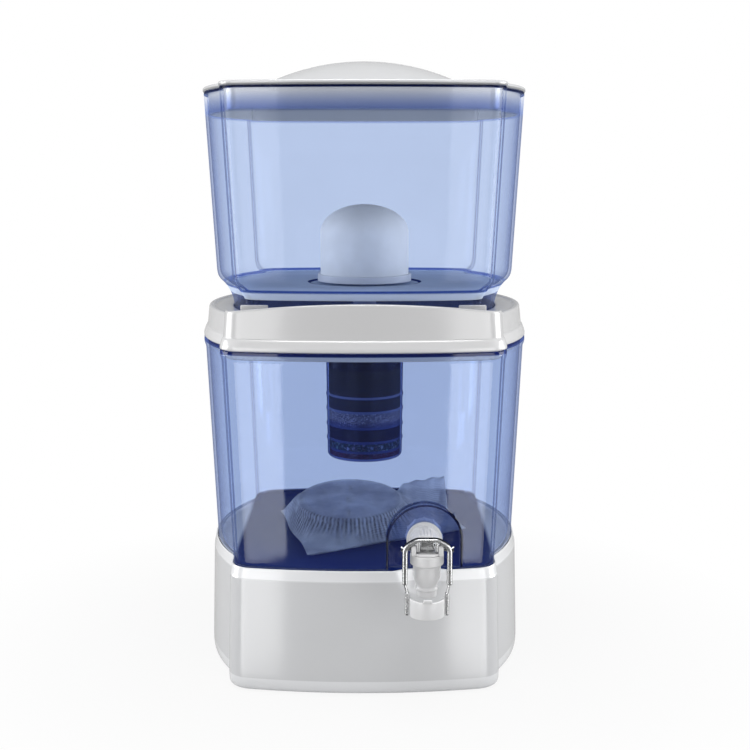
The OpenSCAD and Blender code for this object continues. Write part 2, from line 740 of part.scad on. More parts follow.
// one bed that fills the cartridge from z over a thickness t; its top is narrower by less
module bed(z, t, less = 0) {
  rotate_extrude() polygon([
    [0, z], [cart_in(z) - bed_gap, z], [cart_in(z + t) - bed_gap - less, z + t], [0, z + t]
  ]);
}
module carbon_bed() { color(c_carbon) bed(z_carbon + eps, carbon_t, neck_in); }
module fine_carbon_bed() { color("#1A2030") bed(z_fine + eps, fine_t - 2 * eps); }
module zeolite_bed() { color("#9AA0B8") bed(z_zeolite + eps, zeolite_t - 2 * eps); }
module silver_carbon_bed() { color("#1C2233") bed(z_silver + eps, silver_t - 2 * eps); }
module ceramic_ball_bed() { color("#5C8A78") bed(z_balls + eps, balls_t - 2 * eps); }
module mineral_sand_bed() { color("#6B2F4A") bed(z_sand + eps, sand_t - 2 * eps); }
module felt_pads() {
  color("#E8E6DC") for (z = felts) bed(z, felt_t);
}

module outlet_grid() {
  hole_r = 1.6;
  rows = 3;
  pitch = 8.5;
  color(c_white) difference() {
    translate([0, 0, z_grid + layer_gap / 2]) cylinder(r = cart_in(z_cart) - fit, h = grid_t);
    for (k = [1 : rows]) for (a = [0 : 60 / k : 359])
      rotate([0, 0, a]) translate([k * pitch, 0, z_cart])
        cylinder(r = hole_r, h = 3 * grid_t, $fn = 24);
  }
}

// ---------------------------------------------------------------- mineral case and bag
case_x = -15;
case_y = 0;
case_wall = 1.8;
bag_t = 1;
bag_gap = 0.4;
// the case leans about its front edge, which lies in the bag
edge_sink = 0.6;                          // how far that edge presses into the bag's foot
z_case = z_low_floor + fit + 2 * bag_t + bag_gap - edge_sink;
module lean_case() {
  translate([case_x, case_y - case_r, z_case]) rotate([case_lean, 0, 0])
    translate([0, case_r, 0]) children();
}
case_lid_h = 4;
lid_play = 0.3;                           // clearance of the case lid's plug
lid_rest = 0.1;
rib_out = 1;                              // height of a rib on the case

module mineral_case_body() {
  rib_t = 1.6;
  wall_r = case_r - rib_out;
  body_h = case_h - case_lid_h;
  color("#8C9CCB") lean_case() difference() {
    union() {
      cylinder(r = wall_r, h = body_h);
      for (i = [0 : case_ribs - 1]) rotate([0, 0, 360 * i / case_ribs])
        translate([wall_r - rib_out, -rib_t / 2, edge])
          cube([2 * rib_out, rib_t, body_h - edge]);
    }
    translate([0, 0, case_wall]) cylinder(r = wall_r - case_wall, h = body_h);
  }
}

module mineral_case_lid() {
  slot_l = 14;
  slot_w = 3;
  slot_step = 30;
  slot_in = 22.5;                         // where a slot starts
  eye_r = 5;                              // hole in the lid's middle
  plug_t = 2;
  plug_r = case_r - rib_out - case_wall - lid_play;
  top_t = 2.4;
  color("#9AA9D4") lean_case() difference() {
    union() {
      translate([0, 0, case_h - case_lid_h + lid_rest]) cylinder(r = case_r, h = case_lid_h);
      translate([0, 0, case_h - case_lid_h - plug_t]) cylinder(r = plug_r, h = plug_t + 1);
    }
    translate([0, 0, case_h - case_lid_h - plug_t - 1])
      cylinder(r = plug_r - case_wall, h = case_lid_h + plug_t + 1 - top_t);
    for (a = [0 : slot_step : 359]) rotate([0, 0, a])
      translate([slot_in, -slot_w / 2, 0]) cube([slot_l, slot_w, 2 * case_h]);
    cylinder(r = eye_r, h = 2 * case_h, $fn = 32);
  }
}

module mineral_stones() {
  stone_r = 5.6;
  stone_gap = 0.2;
  reach = case_r - rib_out - case_wall - stone_r - stone_gap;
  rows = [[0, 1], [1 / 3, 6], [2 / 3, 12], [1, 19]];    // [share of the reach, stones]
  color("#A39A86") lean_case() for (row = rows) for (i = [0 : row[1] - 1])
    rotate([0, 0, 360 * i / row[1]])
      translate([row[0] * reach, 0, case_wall + stone_r + stone_gap]) sphere(r = stone_r, $fn = 32);
}

// flat edge of the bag: corners on the tank's floor, seen from above
bag_edge = [[-44, -112], [22, -82], [64, -66], [98, -22], [96, 62], [50, 106], [-12, 108],
            [-72, 92], [-110, 38], [-106, -10], [-74, -64]];

// cuts every corner of a closed outline at a quarter of its sides
function cut_corners(p) = [
  for (i = [0 : len(p) - 1]) let (q = p[(i + 1) % len(p)])
    each [0.75 * p[i] + 0.25 * q, 0.25 * p[i] + 0.75 * q]
];

module mineral_bag() {
  inner_r = case_r + bag_gap;
  color("#7F8FC4") difference() {
    union() {
      translate([0, 0, z_low_floor + fit]) linear_extrude(bag_t)
        polygon(cut_corners(cut_corners(bag_edge)));
      lean_case() translate([0, 0, -bag_gap - bag_t])
        cylinder(r = inner_r + bag_t, h = case_h + 2 * bag_gap + 2 * bag_t);
    }
    lean_case() translate([0, 0, -bag_gap]) cylinder(r = inner_r, h = case_h + 2 * bag_gap);
  }
}

// ---------------------------------------------------------------- tap
washer_w = 2.2;                           // thickness of the tap's sealing washers
flange_w = 3;
flange_r = barrel_r + flange_w;
flange_t = 3;
y_flange = arch_y - washer_w;
nut_w = 8;
shank_over = 3;                           // shank past the lock nut
shank_in = tank_wall + washer_w + nut_w + shank_over;   // shank length inside the flat face
spout_drop = 33;                          // the spout's end, under the barrel's axis
seat_rise = 14;                           // valve seat, over the spout's end
collar_drop = 5;                          // foot of the collar, under the barrel's axis
collar_up = 4.5;                          // top of the collar, over the barrel's axis
plug_drop = 0.5;                          // underside of the bonnet's plug
z_spout = z_barrel - spout_drop;
z_seat_valve = z_spout + seat_rise;
z_collar = z_barrel - collar_drop;
z_collar_top = z_barrel + collar_up;
z_plug = z_barrel - plug_drop;
outlet_r = spout_r - 2.5;
chamber_r = valve_r - 3.4;
bonnet_r = collar_r - 3.8;
port_r = 3.8;
z_port = z_collar + edge / 2;
screw_play = 0.1;                         // clearance of the bonnet and its seal

module upright(r, z0, z1) {
  translate([tap_x, tap_y, z0]) cylinder(r = r, h = z1 - z0);
}

module tap_body() {
  dome_y = tap_y + collar_r;              // front end of the barrel
  barrel_l = y_flange - dome_y;
  nose_l = 3.5;                           // bevel of the barrel's front end
  ring_z = z_spout + 6;                   // ring round the spout
  ring_h = 2.5;
  ring_w = 0.9;
  taper_z = z_spout + 9;                  // where the spout widens to the upright body
  taper_h = 8;
  grip_n = 2;                             // grip ribs on each side of the middle one
  grip_pitch = 2.6;
  grip_w = 1.2;
  grip_h = 0.5;
  color("#E3E4E6") difference() {
    union() {
      along_barrel(flange_r, y_flange, flange_t);
      along_barrel(barrel_r, y_flange, barrel_l - nose_l);
      translate([tap_x, y_flange - barrel_l + nose_l, z_barrel]) rotate([90, 0, 0])
        cylinder(r1 = barrel_r, r2 = barrel_r - nose_l, h = nose_l);
      along_barrel(shank_r, arch_y + shank_in, shank_in + washer_w + 1);
      // the barrel runs on into the upright body, below the bonnet
      intersection() {
        along_barrel(barrel_r - nose_l, y_flange, barrel_l + collar_r);
        translate([0, -big, z_barrel - big]) cube([big, big, big + z_collar_top - z_barrel - eps]);
      }
      // upright body: spout, ring, taper, barrel and collar
      upright(spout_r, z_spout, z_seat_valve);
      upright(spout_r + ring_w, ring_z, ring_z + ring_h);
      translate([tap_x, tap_y, taper_z]) cylinder(r1 = spout_r, r2 = valve_r, h = taper_h);
      upright(valve_r, taper_z + taper_h - eps, z_collar);
      upright(collar_r, z_collar, z_collar_top);
      // grip ribs on the barrel
      for (i = [-grip_n : grip_n]) let (x = grip_pitch * i)
        translate([tap_x + x - grip_w / 2, y_flange - 0.8 * barrel_l, z_barrel])
          cube([grip_w, 0.5 * barrel_l, sqrt(barrel_r * barrel_r - x * x) + grip_h]);
    }
    upright(outlet_r, z_spout - 1, z_seat_valve + 1);
    upright(chamber_r, z_seat_valve, z_plug);
    upright(bonnet_r, z_plug - eps, z_collar_top + 30);
    // the way in, through the shank
    translate([tap_x, arch_y + shank_in + 1, z_port]) rotate([90, 0, 0])
      cylinder(r = port_r, h = shank_in + 1 + tap_reach - chamber_r + 2);
  }
}

module tap_outer_washer() {
  color("#D5D8DC") difference() {
    along_barrel(flange_r - edge / 2, arch_y, washer_w);
    along_barrel(shank_r + washer_play, arch_y + 1, washer_w + 2);
  }
}

module tap_inner_washer() {
  y0 = arch_y + tank_wall + washer_w;
  color("#D5D8DC") difference() {
    along_barrel(flange_r - edge / 2, y0, washer_w);
    along_barrel(shank_r + washer_play, y0 + 1, washer_w + 2);
  }
}

module tap_lock_nut() {
  y0 = arch_y + tank_wall + washer_w + nut_w;
  grips = 12;
  grip_w = 2;
  grip_h = 0.8;
  color(c_white) difference() {
    union() {
      along_barrel(flange_r, y0, nut_w);
      for (i = [0 : grips - 1]) translate([tap_x, y0, z_barrel]) rotate([0, 360 * i / grips, 0])
        translate([flange_r - grip_h, -nut_w, -grip_w / 2]) cube([2 * grip_h, nut_w, grip_w]);
    }
    along_barrel(shank_r, y0 + 1, nut_w + 2);
  }
}

z_flange = z_collar_top + screw_play;     // underside of the bonnet's flange
bonnet_t = 1.9;
bonnet_edge = 0.4;                        // step from the collar to the bonnet's flange
z_bonnet = z_flange + bonnet_t;
pivot_up = 3.5;                           // pivot axis over the bonnet
z_pivot = z_bonnet + pivot_up;
y_pivot = tap_y - pivot_ahead;
ear_t = 4;
ear_out = collar_r - 0.8;                 // outer face of an ear, from the tap's middle
ear_in = ear_out - ear_t;
ear_r = pin_r + 2.1;
guide_r = 2.4;                            // radius of the valve stem
guide_gap = 0.08;
z_groove = z_plug + 2;                    // groove for the bonnet's seal
groove_w = 1.5;
groove_h = 1.8;

module tap_bonnet() {
  color("#EDEEF0") difference() {
    union() {
      upright(bonnet_r - screw_play, z_plug + screw_play, z_flange + eps);
      upright(collar_r - bonnet_edge, z_flange, z_bonnet);
      for (s = [-1, 1]) ear(s);
    }
    upright(guide_r + guide_gap, z_plug - 1, z_bonnet + collar_r);
    translate([tap_x, tap_y, z_groove]) ring_disc(bonnet_r - groove_w, collar_r, groove_h);
  }
}

// ear that holds a pivot pin, on side s
module ear(s) {
  x0 = s > 0 ? tap_x + ear_in : tap_x - ear_out;
  difference() {
    union() {
      translate([x0, y_pivot, z_pivot]) rotate([0, 90, 0]) cylinder(r = ear_r, h = ear_t);
      translate([x0, y_pivot - ear_r, z_flange + bonnet_edge])
        cube([ear_t, 2 * ear_r, z_pivot - z_flange - bonnet_edge]);
      translate([x0, y_pivot, z_flange + bonnet_edge])
        cube([ear_t, pivot_ahead, bonnet_t - bonnet_edge]);
    }
    translate([x0 - 1, y_pivot, z_pivot]) rotate([0, 90, 0]) cylinder(r = pin_r, h = ear_out);
  }
}

module bonnet_seal() {
  color("#2E2F33") translate([tap_x, tap_y, z_groove + screw_play])
    ring_disc(bonnet_r - groove_w + screw_play, bonnet_r - screw_play,
      groove_h - 2 * screw_play);
}

fork_gap = 0.4;                           // gap between the lever's fork and an ear
fork_w = 2.5;                             // width of a prong
fork_out = ear_in - fork_gap;
fork_in = fork_out - fork_w;
rubber_t = 3;                             // height of the valve's rubber, over the seat
z_stem_foot = z_seat_valve + rubber_t;
disc_t = 1.6;                             // disc at the stem's foot
head_gap = 0.5;                           // gap between the stem's head and a prong
head_w = 2 * (fork_in - head_gap);
head_d = 7;
head_h = 8.4;
head_rise = 0.6;                          // the head, over the closed bonnet
z_head = z_bonnet + head_rise;
lift_up = 2;                              // cross pin's axis, over the pivot's
z_lift = z_pivot + lift_up;
lift_pin_r = 1.5;
lift_pin_half = fork_out - fork_gap;

disc_in = 2.6;                            // that disc, in from the valve chamber

module valve_stem() {
  color(c_chrome) difference() {
    union() {
      upright(guide_r, z_stem_foot, z_head + 1);
      upright(chamber_r - disc_in, z_stem_foot, z_stem_foot + disc_t);
      translate([tap_x - head_w / 2, tap_y - head_d / 2, z_head]) cube([head_w, head_d, head_h]);
    }
    translate([tap_x - head_w, tap_y, z_lift]) rotate([0, 90, 0])
      cylinder(r = lift_pin_r, h = 2 * head_w);
  }
}

module lift_pin() {
  color("#B9BDC4") translate([tap_x - lift_pin_half, tap_y, z_lift]) rotate([0, 90, 0])
    cylinder(r = lift_pin_r, h = 2 * lift_pin_half);
}

module valve_plug() {
  rubber_in = 1.2;
  seat_gap = 0.2;
  color("#E9E4D8") union() {
    upright(chamber_r - rubber_in, z_seat_valve + seat_gap, z_stem_foot);
    upright(outlet_r - rubber_in / 2, z_seat_valve - rubber_in / 2, z_seat_valve + 2 * seat_gap);
  }
}

// compression spring round the stem: wire swept along a helix
wire_r = 0.55;
spring_r = guide_r + 1.6;
spring_turns = 6;
module valve_spring() {
  z0 = z_stem_foot + disc_t + 2 * screw_play + wire_r;
  z1 = z_plug - screw_play - wire_r;
  per_turn = 16;
  sides = 6;
  n = spring_turns * per_turn;
  points = [for (i = [0 : n]) for (k = [0 : sides - 1])
    let (a = 360 * i / per_turn, b = 360 * k / sides, r = spring_r + wire_r * cos(b))
    [tap_x + r * cos(a), tap_y + r * sin(a), z0 + (z1 - z0) * i / n + wire_r * sin(b)]];
  faces = concat(
    [[for (k = [0 : sides - 1]) k]],
    [for (i = [0 : n - 1]) for (k = [0 : sides - 1]) let (m = (k + 1) % sides)
      [i * sides + k, (i + 1) * sides + k, (i + 1) * sides + m, i * sides + m]],
    [[for (k = [sides - 1 : -1 : 0]) n * sides + k]]
  );
  color("#AEB3BB") polyhedron(points = points, faces = faces, convexity = 8);
}

// ---------------------------------------------------------------- lever
arm_t = 4.4;                              // thickness of an arm, across the lever
arm_d = 7;                                // depth of an arm
arm_in = ear_out + lever_gap;             // inner face of an arm, from the tap's middle
lever_w = 2 * (arm_in + arm_t);
bridge_up = 6.2;                          // underside of the bridge, over the pivot axis
z_bridge = z_pivot + bridge_up;
bridge_t = 3;
z_lever_foot = z_bridge + bridge_t - lever_h;
elbow_up = 2;
z_elbow = z_pivot + elbow_up;             // where the arms meet the gable
neck_up = 27;
z_neck = z_lever_foot + neck_up;          // top of the narrow necks
neck_h = 7;
neck_w = 2;
neck_d = 2.4;
lower_d = 4;                              // depth of the lower arms
lower_t = 3.4;                            // their thickness
lower_step = 2.4;                         // how far they stand in from the upper arms
lower_out = lever_w / 2 - lower_step;
lower_in = lower_out - lower_t;
lap = 1;                                  // overlap of joined bars
fork_t = 2.2;
fork_over = 3;                            // prong past the cross pin
fork_top = 0.2;                           // prong's upper face, over the pivot axis

module lever_box(x0, x1, y0, y1, z0, z1) {
  translate([tap_x + x0, y_pivot + y0, z0]) cube([x1 - x0, y1 - y0, z1 - z0]);
}

module neck_slice(x, z) {
  lever_box(x, x + neck_w, -neck_d / 2, neck_d / 2, z, z + lap);
}

module tap_lever() {
  half = arm_d / 2;
  slope_in = ear_in;
  color(c_chrome) difference() {
    union() {
      for (s = [-1, 1]) {
        inner = s > 0 ? arm_in : -lever_w / 2;
        lower = s > 0 ? lower_in : -lower_out;
        lever_box(inner, inner + arm_t, -half, half, z_neck, z_elbow + lap);
        lever_box(lower, lower + lower_t, -lower_d / 2, lower_d / 2, z_lever_foot,
          z_neck - neck_h);
        // neck that leans in from the upper arm to the lower one
        hull() {
          neck_slice(inner + (arm_t - neck_w) / 2, z_neck);
          neck_slice(lower + (lower_t - neck_w) / 2, z_neck - neck_h - lap);
        }
        // cheek under the bridge, and the fork prong that runs back under the cross pin
        x0 = s > 0 ? fork_in : -fork_out;
        x1 = x0 + fork_w;
        z0 = z_pivot + fork_top - fork_t;
        lever_box(x0, x1, -half, half, z0, z_bridge + lap);
        lever_box(x0, x1, 0, pivot_ahead + fork_over, z0, z0 + fork_t);
      }
      // gable-shaped bridge over the stem's head
      translate([tap_x, y_pivot + half, 0]) rotate([90, 0, 0]) linear_extrude(arm_d) polygon([
        [-lever_w / 2, z_elbow], [-slope_in, z_bridge + bridge_t], [slope_in, z_bridge + bridge_t],
        [lever_w / 2, z_elbow], [arm_in, z_elbow], [slope_in - lap, z_bridge],
        [lap - slope_in, z_bridge], [-arm_in, z_elbow]
      ]);
    }
    translate([tap_x - lever_w, y_pivot, z_pivot]) rotate([0, 90, 0])
      cylinder(r = pin_r + pin_gap, h = 2 * lever_w);
  }
}

module lever_pins() {
  head_t = 1;
  head_w = 1;
  head_gap = 0.15;
  pin_l = lever_w / 2 + head_gap + eps - ear_in;
  color("#B9BDC4") for (s = [-1, 1]) translate([tap_x, y_pivot, z_pivot]) rotate([0, s * 90, 0]) {
    translate([0, 0, ear_in]) cylinder(r = pin_r, h = pin_l);
    translate([0, 0, lever_w / 2 + head_gap]) cylinder(r = pin_r + head_w, h = head_t);
  }
}

pad_gap = 0.1;
pad_r_out = lower_in - pad_gap;
pad_wall = 1.8;
pad_h = 15.5;
module push_pad() {
  tab_half = 3.7;
  tab_h = 2.5;
  tab_t = 1.3;
  back = 1.6;                             // how far the pad runs back past the lever's plane
  color("#F4F4F5") {
    difference() {
      translate([tap_x, y_pivot, z_lever_foot]) cylinder(r = pad_r_out, h = pad_h);
      translate([tap_x, y_pivot, z_lever_foot - 1]) cylinder(r = pad_r_out - pad_wall, h = pad_h + 2);
      translate([tap_x - big / 2, y_pivot + back, z_lever_foot - 1]) cube([big, big, pad_h + 2]);
    }
    translate([tap_x - tab_half, y_pivot - pad_r_out + (pad_wall - tab_t) / 2,
      z_lever_foot + pad_h - lap])
      cube([2 * tab_half, tab_t, tab_h + lap]);
  }
}

// ---------------------------------------------------------------- parts
base_stand();
stand_feet();
lower_tank();
middle_cover();
upper_tank();
lid();
ceramic_dome();
dome_base();
dome_gasket();
dome_stem();
stem_washer();
wing_nut();
cartridge_cap();
cartridge_seal();
cartridge_body();
carbon_bed();
fine_carbon_bed();
zeolite_bed();
silver_carbon_bed();
ceramic_ball_bed();
mineral_sand_bed();
felt_pads();
outlet_grid();
mineral_case_body();
mineral_case_lid();
mineral_stones();
mineral_bag();
tap_body();
tap_outer_washer();
tap_inner_washer();
tap_lock_nut();
tap_bonnet();
bonnet_seal();
valve_stem();
valve_plug();
valve_spring();
lift_pin();
tap_lever();
lever_pins();
push_pad();
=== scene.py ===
import math

import bpy
import numpy as np
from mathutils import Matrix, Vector


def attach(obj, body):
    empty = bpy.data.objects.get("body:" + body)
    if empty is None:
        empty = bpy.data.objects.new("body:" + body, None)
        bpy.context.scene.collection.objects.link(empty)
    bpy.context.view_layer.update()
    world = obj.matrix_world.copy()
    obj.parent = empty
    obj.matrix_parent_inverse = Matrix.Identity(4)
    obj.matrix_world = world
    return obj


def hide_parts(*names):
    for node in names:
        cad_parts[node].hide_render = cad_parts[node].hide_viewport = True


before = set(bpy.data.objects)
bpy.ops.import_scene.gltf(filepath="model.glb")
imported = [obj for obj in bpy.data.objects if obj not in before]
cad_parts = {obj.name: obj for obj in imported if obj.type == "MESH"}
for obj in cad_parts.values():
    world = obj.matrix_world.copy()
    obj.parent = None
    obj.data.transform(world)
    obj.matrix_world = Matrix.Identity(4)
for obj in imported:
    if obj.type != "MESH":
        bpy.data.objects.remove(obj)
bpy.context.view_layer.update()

bl_info = {
    "name": "Gravity water filter",
    "version": (1, 0, 0),
    "blender": (4, 5, 0),
    "location": "View3D > Sidebar > Water filter",
    "description": "Makes the visible pieces of a gravity water filter with a push-lever tap",
    "category": "Object",
}

MM = 0.001
TAU = 2 * math.pi
FEWEST_FACES = 12       # a cut piece with fewer has been lost


# ---------------------------------------------------------------- sizes and colours
def srgb(text):
    """Linear red, green and blue of a colour written as #RRGGBB, by the sRGB curve."""
    v = np.array([int(text[i:i + 2], 16) for i in (1, 3, 5)]) / 255
    v = np.where(v <= 0.04045, v / 12.92, ((v + 0.055) / 1.055) ** 2.4)
    return tuple(float(c) for c in v)


def colour(name, description, text):
    """A colour property with a default that is written as #RRGGBB."""
    return bpy.props.FloatVectorProperty(
        name=name, description=description, subtype="COLOR", size=3,
        min=0, max=1, default=srgb(text),
    )


def length(name, description, default, low=0.0, high=400.0):
    """A length property in millimetres."""
    return bpy.props.FloatProperty(
        name=name, description=description, default=default, min=low, max=high, precision=2,
    )


class WaterFilterSizes(bpy.types.PropertyGroup):
    """Sizes in millimetres that shape the visible pieces."""

    edge_round: length("Edge rounding", "Rounding of the big mouldings' edges", 1.2, 0.3, 3)
    wall_step: length("Wall step", "Largest height of a face on the big walls", 7.0, 2, 40)
    arch_flare: length("Arch edge", "Rounding of the edge of the arch behind the tap", 1.6, 0.4, 3)
    tap_voxel: length("Tap fineness", "Grain at which the tap's parts are blended", 0.42, 0.3, 1)
    bag_width: length("Bag width", "Width of the mesh bag when it lies flat", 165.0, 140, 200)
    bag_length: length("Bag length", "Length of the mesh bag when it lies flat", 180.0, 150, 210)
    bag_thread: length("Bag thread", "Distance between the threads of the bag", 0.9, 0.5, 3)
    case_ribs: bpy.props.IntProperty(
        name="Case ribs", description="Number of ribs round the mineral case", default=44,
        min=24, max=60,
    )


class WaterFilterColours(bpy.types.PropertyGroup):
    """Colours of the mouldings, the fillings and the metal."""

    stand: colour("Stand", "White plastic of the stand", "#CDCED0")
    cover: colour("Cover", "Grey-white plastic of the middle cover", "#C6C6C7")
    lid: colour("Lid", "White plastic of the lid", "#D3D4D6")
    tint: colour("Upper tint", "What one face of the upper tank's wall lets through", "#EDF2FB")
    low_tint: colour("Lower tint", "What one face of the lower tank's wall lets through", "#E5ECF9")
    deep: colour("Tank edge", "What the tanks let through where they are seen edge-on", "#1C3684")
    # the tank floor's tint is partly painted shade: deeper than its thick plastic, for the shaded
    # stand seen through it
    pool: colour("Tank floor", "What the thick floor of the lower tank lets through", "#1E3C94")
    tap: colour("Tap", "Milky plastic of the tap", "#D3D3D4")
    ceramic: colour("Ceramic", "Ceramic of the dome", "#F6F6F4")
    carbon: colour("Carbon", "Granules of activated carbon", "#0A0E22")
    zeolite: colour("Zeolite", "Granules of zeolite", "#DAD8E8")
    sand: colour("Mineral sand", "Grains of the bottom bed", "#A84456")
    bag: colour("Bag", "Threads of the mesh bag", "#DCE4FA")
    stones: colour("Stones", "Mineral stones in the case", "#A79A82")


# ---------------------------------------------------------------- surfaces
def grid_faces(rows, cols, closed=False):
    """Quads between neighbouring rings of a grid whose every row closes on itself.

    Face (i, j) joins points (i, j), (i, j + 1), (i + 1, j + 1) and (i + 1, j), so the surface
    faces outwards where rows go up and columns run counter-clockwise seen from above.
    """
    i = np.arange(rows if closed else rows - 1)[:, None]
    j = np.arange(cols)[None, :]
    i2, j2 = (i + 1) % rows, (j + 1) % cols
    return np.stack([i * cols + j, i * cols + j2, i2 * cols + j2, i2 * cols + j], -1).reshape(-1, 4)


def open_faces(rows, cols):
    """Quads of a grid that closes in neither direction."""
    i = np.arange(rows - 1)[:, None]
    j = np.arange(cols - 1)[None, :]
    a = i * cols + j
    return np.stack([a, a + 1, a + cols + 1, a + cols], -1).reshape(-1, 4)


def capped(rows, cols, count):
    """Triangles that close the first and the last ring on the two middle points after them."""
    j = np.arange(cols)
    j2 = (j + 1) % cols
    last = (rows - 1) * cols
    foot = np.stack([np.full(cols, count), j2, j], -1)
    head = np.stack([np.full(cols, count + 1), last + j, last + j2], -1)
    return foot.tolist() + head.tolist()


def tube_of(rings, closed=False):
    """Points and faces of a stack of rings, (rows, columns, 3).

    An open stack is closed at both ends by a fan on the mean of its end ring. The faces are
    turned round where six times the volume, the sum of a . (b x c) over all triangles, is
    below zero.
    """
    rows, cols = rings.shape[:2]
    points = rings.reshape(-1, 3)
    quads = grid_faces(rows, cols, closed)
    fans = []
    if not closed:
        points = np.vstack([points, rings[0].mean(0), rings[-1].mean(0)])
        fans = capped(rows, cols, rows * cols)
    thirds = np.vstack([quads[:, :3], quads[:, [0, 2, 3]]] + ([np.array(fans)] if fans else []))
    a, b, c = (points[thirds[:, k]] - points.mean(0) for k in range(3))
    faces = quads.tolist() + fans
    if np.einsum("ij,ij->", a, np.cross(b, c)) < 0:
        faces = [face[::-1] for face in faces]
    return points, faces


def joined(*parts):
    """One set of points and faces out of several that stay separate shells."""
    points, faces, start = [], [], 0
    for p, f in parts:
        points.append(p)
        faces += [[k + start for k in face] for face in f]
        start += len(p)
    return np.vstack(points), faces


def rounded(profile, radius, steps=4, closed=False):
    """Replaces each corner of a profile by a parabola.

    The parabola starts and ends a radius away from the corner c, or at a share of a shorter
    side: p(t) = (1 - t)^2 a + 2 t (1 - t) c + t^2 b. A point just before and after it keeps the
    flat sides flat where they are shaded smooth.
    """
    curve_share, pad_share, pad = 0.42, 0.48, 0.5
    p = np.asarray(profile, float)
    n = len(p)
    reach = np.broadcast_to(radius, n)
    t = np.linspace(0, 1, steps + 1)[:, None]
    out = []
    for i in range(n):
        if not closed and i in (0, n - 1):
            out.append(p[i:i + 1])
            continue
        to_a, to_b = p[i - 1] - p[i], p[(i + 1) % n] - p[i]
        la, lb = np.hypot(*to_a[:2]), np.hypot(*to_b[:2])
        if min(la, lb) < 1e-6:
            out.append(p[i:i + 1])
            continue
        ra, rb = min(reach[i], curve_share * la), min(reach[i], curve_share * lb)
        a, b = p[i] + to_a * ra / la, p[i] + to_b * rb / lb
        pad_a = p[i] + to_a * min(ra + pad, pad_share * la) / la
        pad_b = p[i] + to_b * min(rb + pad, pad_share * lb) / lb
        arc = (1 - t) ** 2 * a + 2 * t * (1 - t) * p[i] + t * t * b
        out.append(np.vstack([pad_a, arc, pad_b]))
    return np.vstack(out)


def densified(profile, step, closed=False):
    """Adds points so that no stretch of a profile is longer than step."""
    p = np.asarray(profile, float)
    if closed:
        p = np.vstack([p, p[:1]])
    count = np.maximum(1, np.ceil(np.hypot(*np.diff(p[:, :2], axis=0).T) / step).astype(int))
    at = np.concatenate([i + np.arange(k) / k for i, k in enumerate(count)])
    if not closed:
        at = np.append(at, len(p) - 1)
    return np.stack([np.interp(at, np.arange(len(p)), c) for c in p.T], 1)


def lathe(profile, turns=128, closed=False):
    """Surface of revolution: (r, z) turned to (r cos a, r sin a, z) over a full turn."""
    a = np.arange(turns) * TAU / turns
    p = np.asarray(profile, float)
    r, z = p[:, 0, None], p[:, 1, None]
    rings = np.stack([r * np.cos(a), r * np.sin(a), z + 0 * a], -1)
    return tube_of(rings, closed)


def moved(part, x=0.0, y=0.0, z=0.0):
    """A part moved by x, y and z."""
    return part[0] + np.array([x, y, z]), part[1]


def laid_forward(part):
    """A part turned so that its +Z points to -Y: (x, y, z) becomes (x, -z, y)."""
    p = part[0]
    return np.stack([p[:, 0], -p[:, 2], p[:, 1]], -1), part[1]


def quarter_arcs(corner):
    """Signs and directions of a rounded rectangle's outline, corner points to each corner.

    Column k holds (sx, sy, cos a, sin a): a corner at (sx, sy) and the direction of its arc.
    """
    a = np.arange(4)[:, None] * math.pi / 2 + np.linspace(0, math.pi / 2, corner)[None, :]
    middle = (np.arange(4) + 0.5) * math.pi / 2
    sx = np.repeat(np.sign(np.cos(middle)), corner)
    sy = np.repeat(np.sign(np.sin(middle)), corner)
    return sx, sy, np.cos(a).ravel(), np.sin(a).ravel()


def block(low, high, radius=0.8, corner=5):
    """Box with rounded edges and corners.

    Ring b of a corner's height has the outline shrunk to r cos b, where r is the radius.
    """
    low, high = np.asarray(low, float), np.asarray(high, float)
    middle, half = (low + high) / 2, (high - low) / 2
    r = min(radius, 0.98 * half.min())
    sx, sy, c, s = quarter_arcs(corner)
    b = np.linspace(-math.pi / 2, 0, corner)
    b = np.concatenate([b, -b[::-1]])
    up = np.where(np.arange(2 * corner) < corner, -1, 1)[:, None]
    b = b[:, None]
    x = sx * (half[0] - r) + r * np.cos(b) * c
    y = sy * (half[1] - r) + r * np.cos(b) * s
    z = up * (half[2] - r) + r * np.sin(b) + 0 * c
    return tube_of(np.stack([x, y, z], -1) + middle)


def bar(path, radius):
    """Bar with a rounded rectangular section along a path in the XZ plane.

    Rows of the path are (x, z, half thickness in the plane, half depth across it). A section
    point is P + n u + Y v, with n square to the path and (u, v) on the rounded rectangle.
    """
    p = np.asarray(path, float)
    along = np.gradient(p[:, :2], axis=0)
    along /= np.linalg.norm(along, axis=1, keepdims=True)
    normal = np.stack([along[:, 1], -along[:, 0]], -1)
    sx, sy, c, s = quarter_arcs(5)
    r = np.minimum(radius, 0.9 * p[:, 2:].min(1))[:, None]
    u = sx * (p[:, 2, None] - r) + r * c
    v = sy * (p[:, 3, None] - r) + r * s
    x = p[:, 0, None] + normal[:, 0, None] * u
    z = p[:, 1, None] + normal[:, 1, None] * u
    return tube_of(np.stack([x, v, z], -1))


def points_of(ob):
    """Points of an object's mesh, in millimetres."""
    points = np.empty(len(ob.data.vertices) * 3)
    ob.data.vertices.foreach_get("co", points)
    return points.reshape(-1, 3) / MM


def put(name, part, material, body, replaces=(), sharp=40.0):
    """Makes a piece of points in millimetres and faces, on its body and in its slot."""
    mesh = bpy.data.meshes.new(name)
    mesh.from_pydata((np.asarray(part[0], float) * MM).tolist(), [], part[1])
    mesh.materials.append(material)
    mesh.validate()
    smooth(mesh, sharp)
    ob = bpy.data.objects.new(name, mesh)
    bpy.context.scene.collection.objects.link(ob)
    if body:
        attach(ob, body)
        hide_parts(*replaces)
    return ob


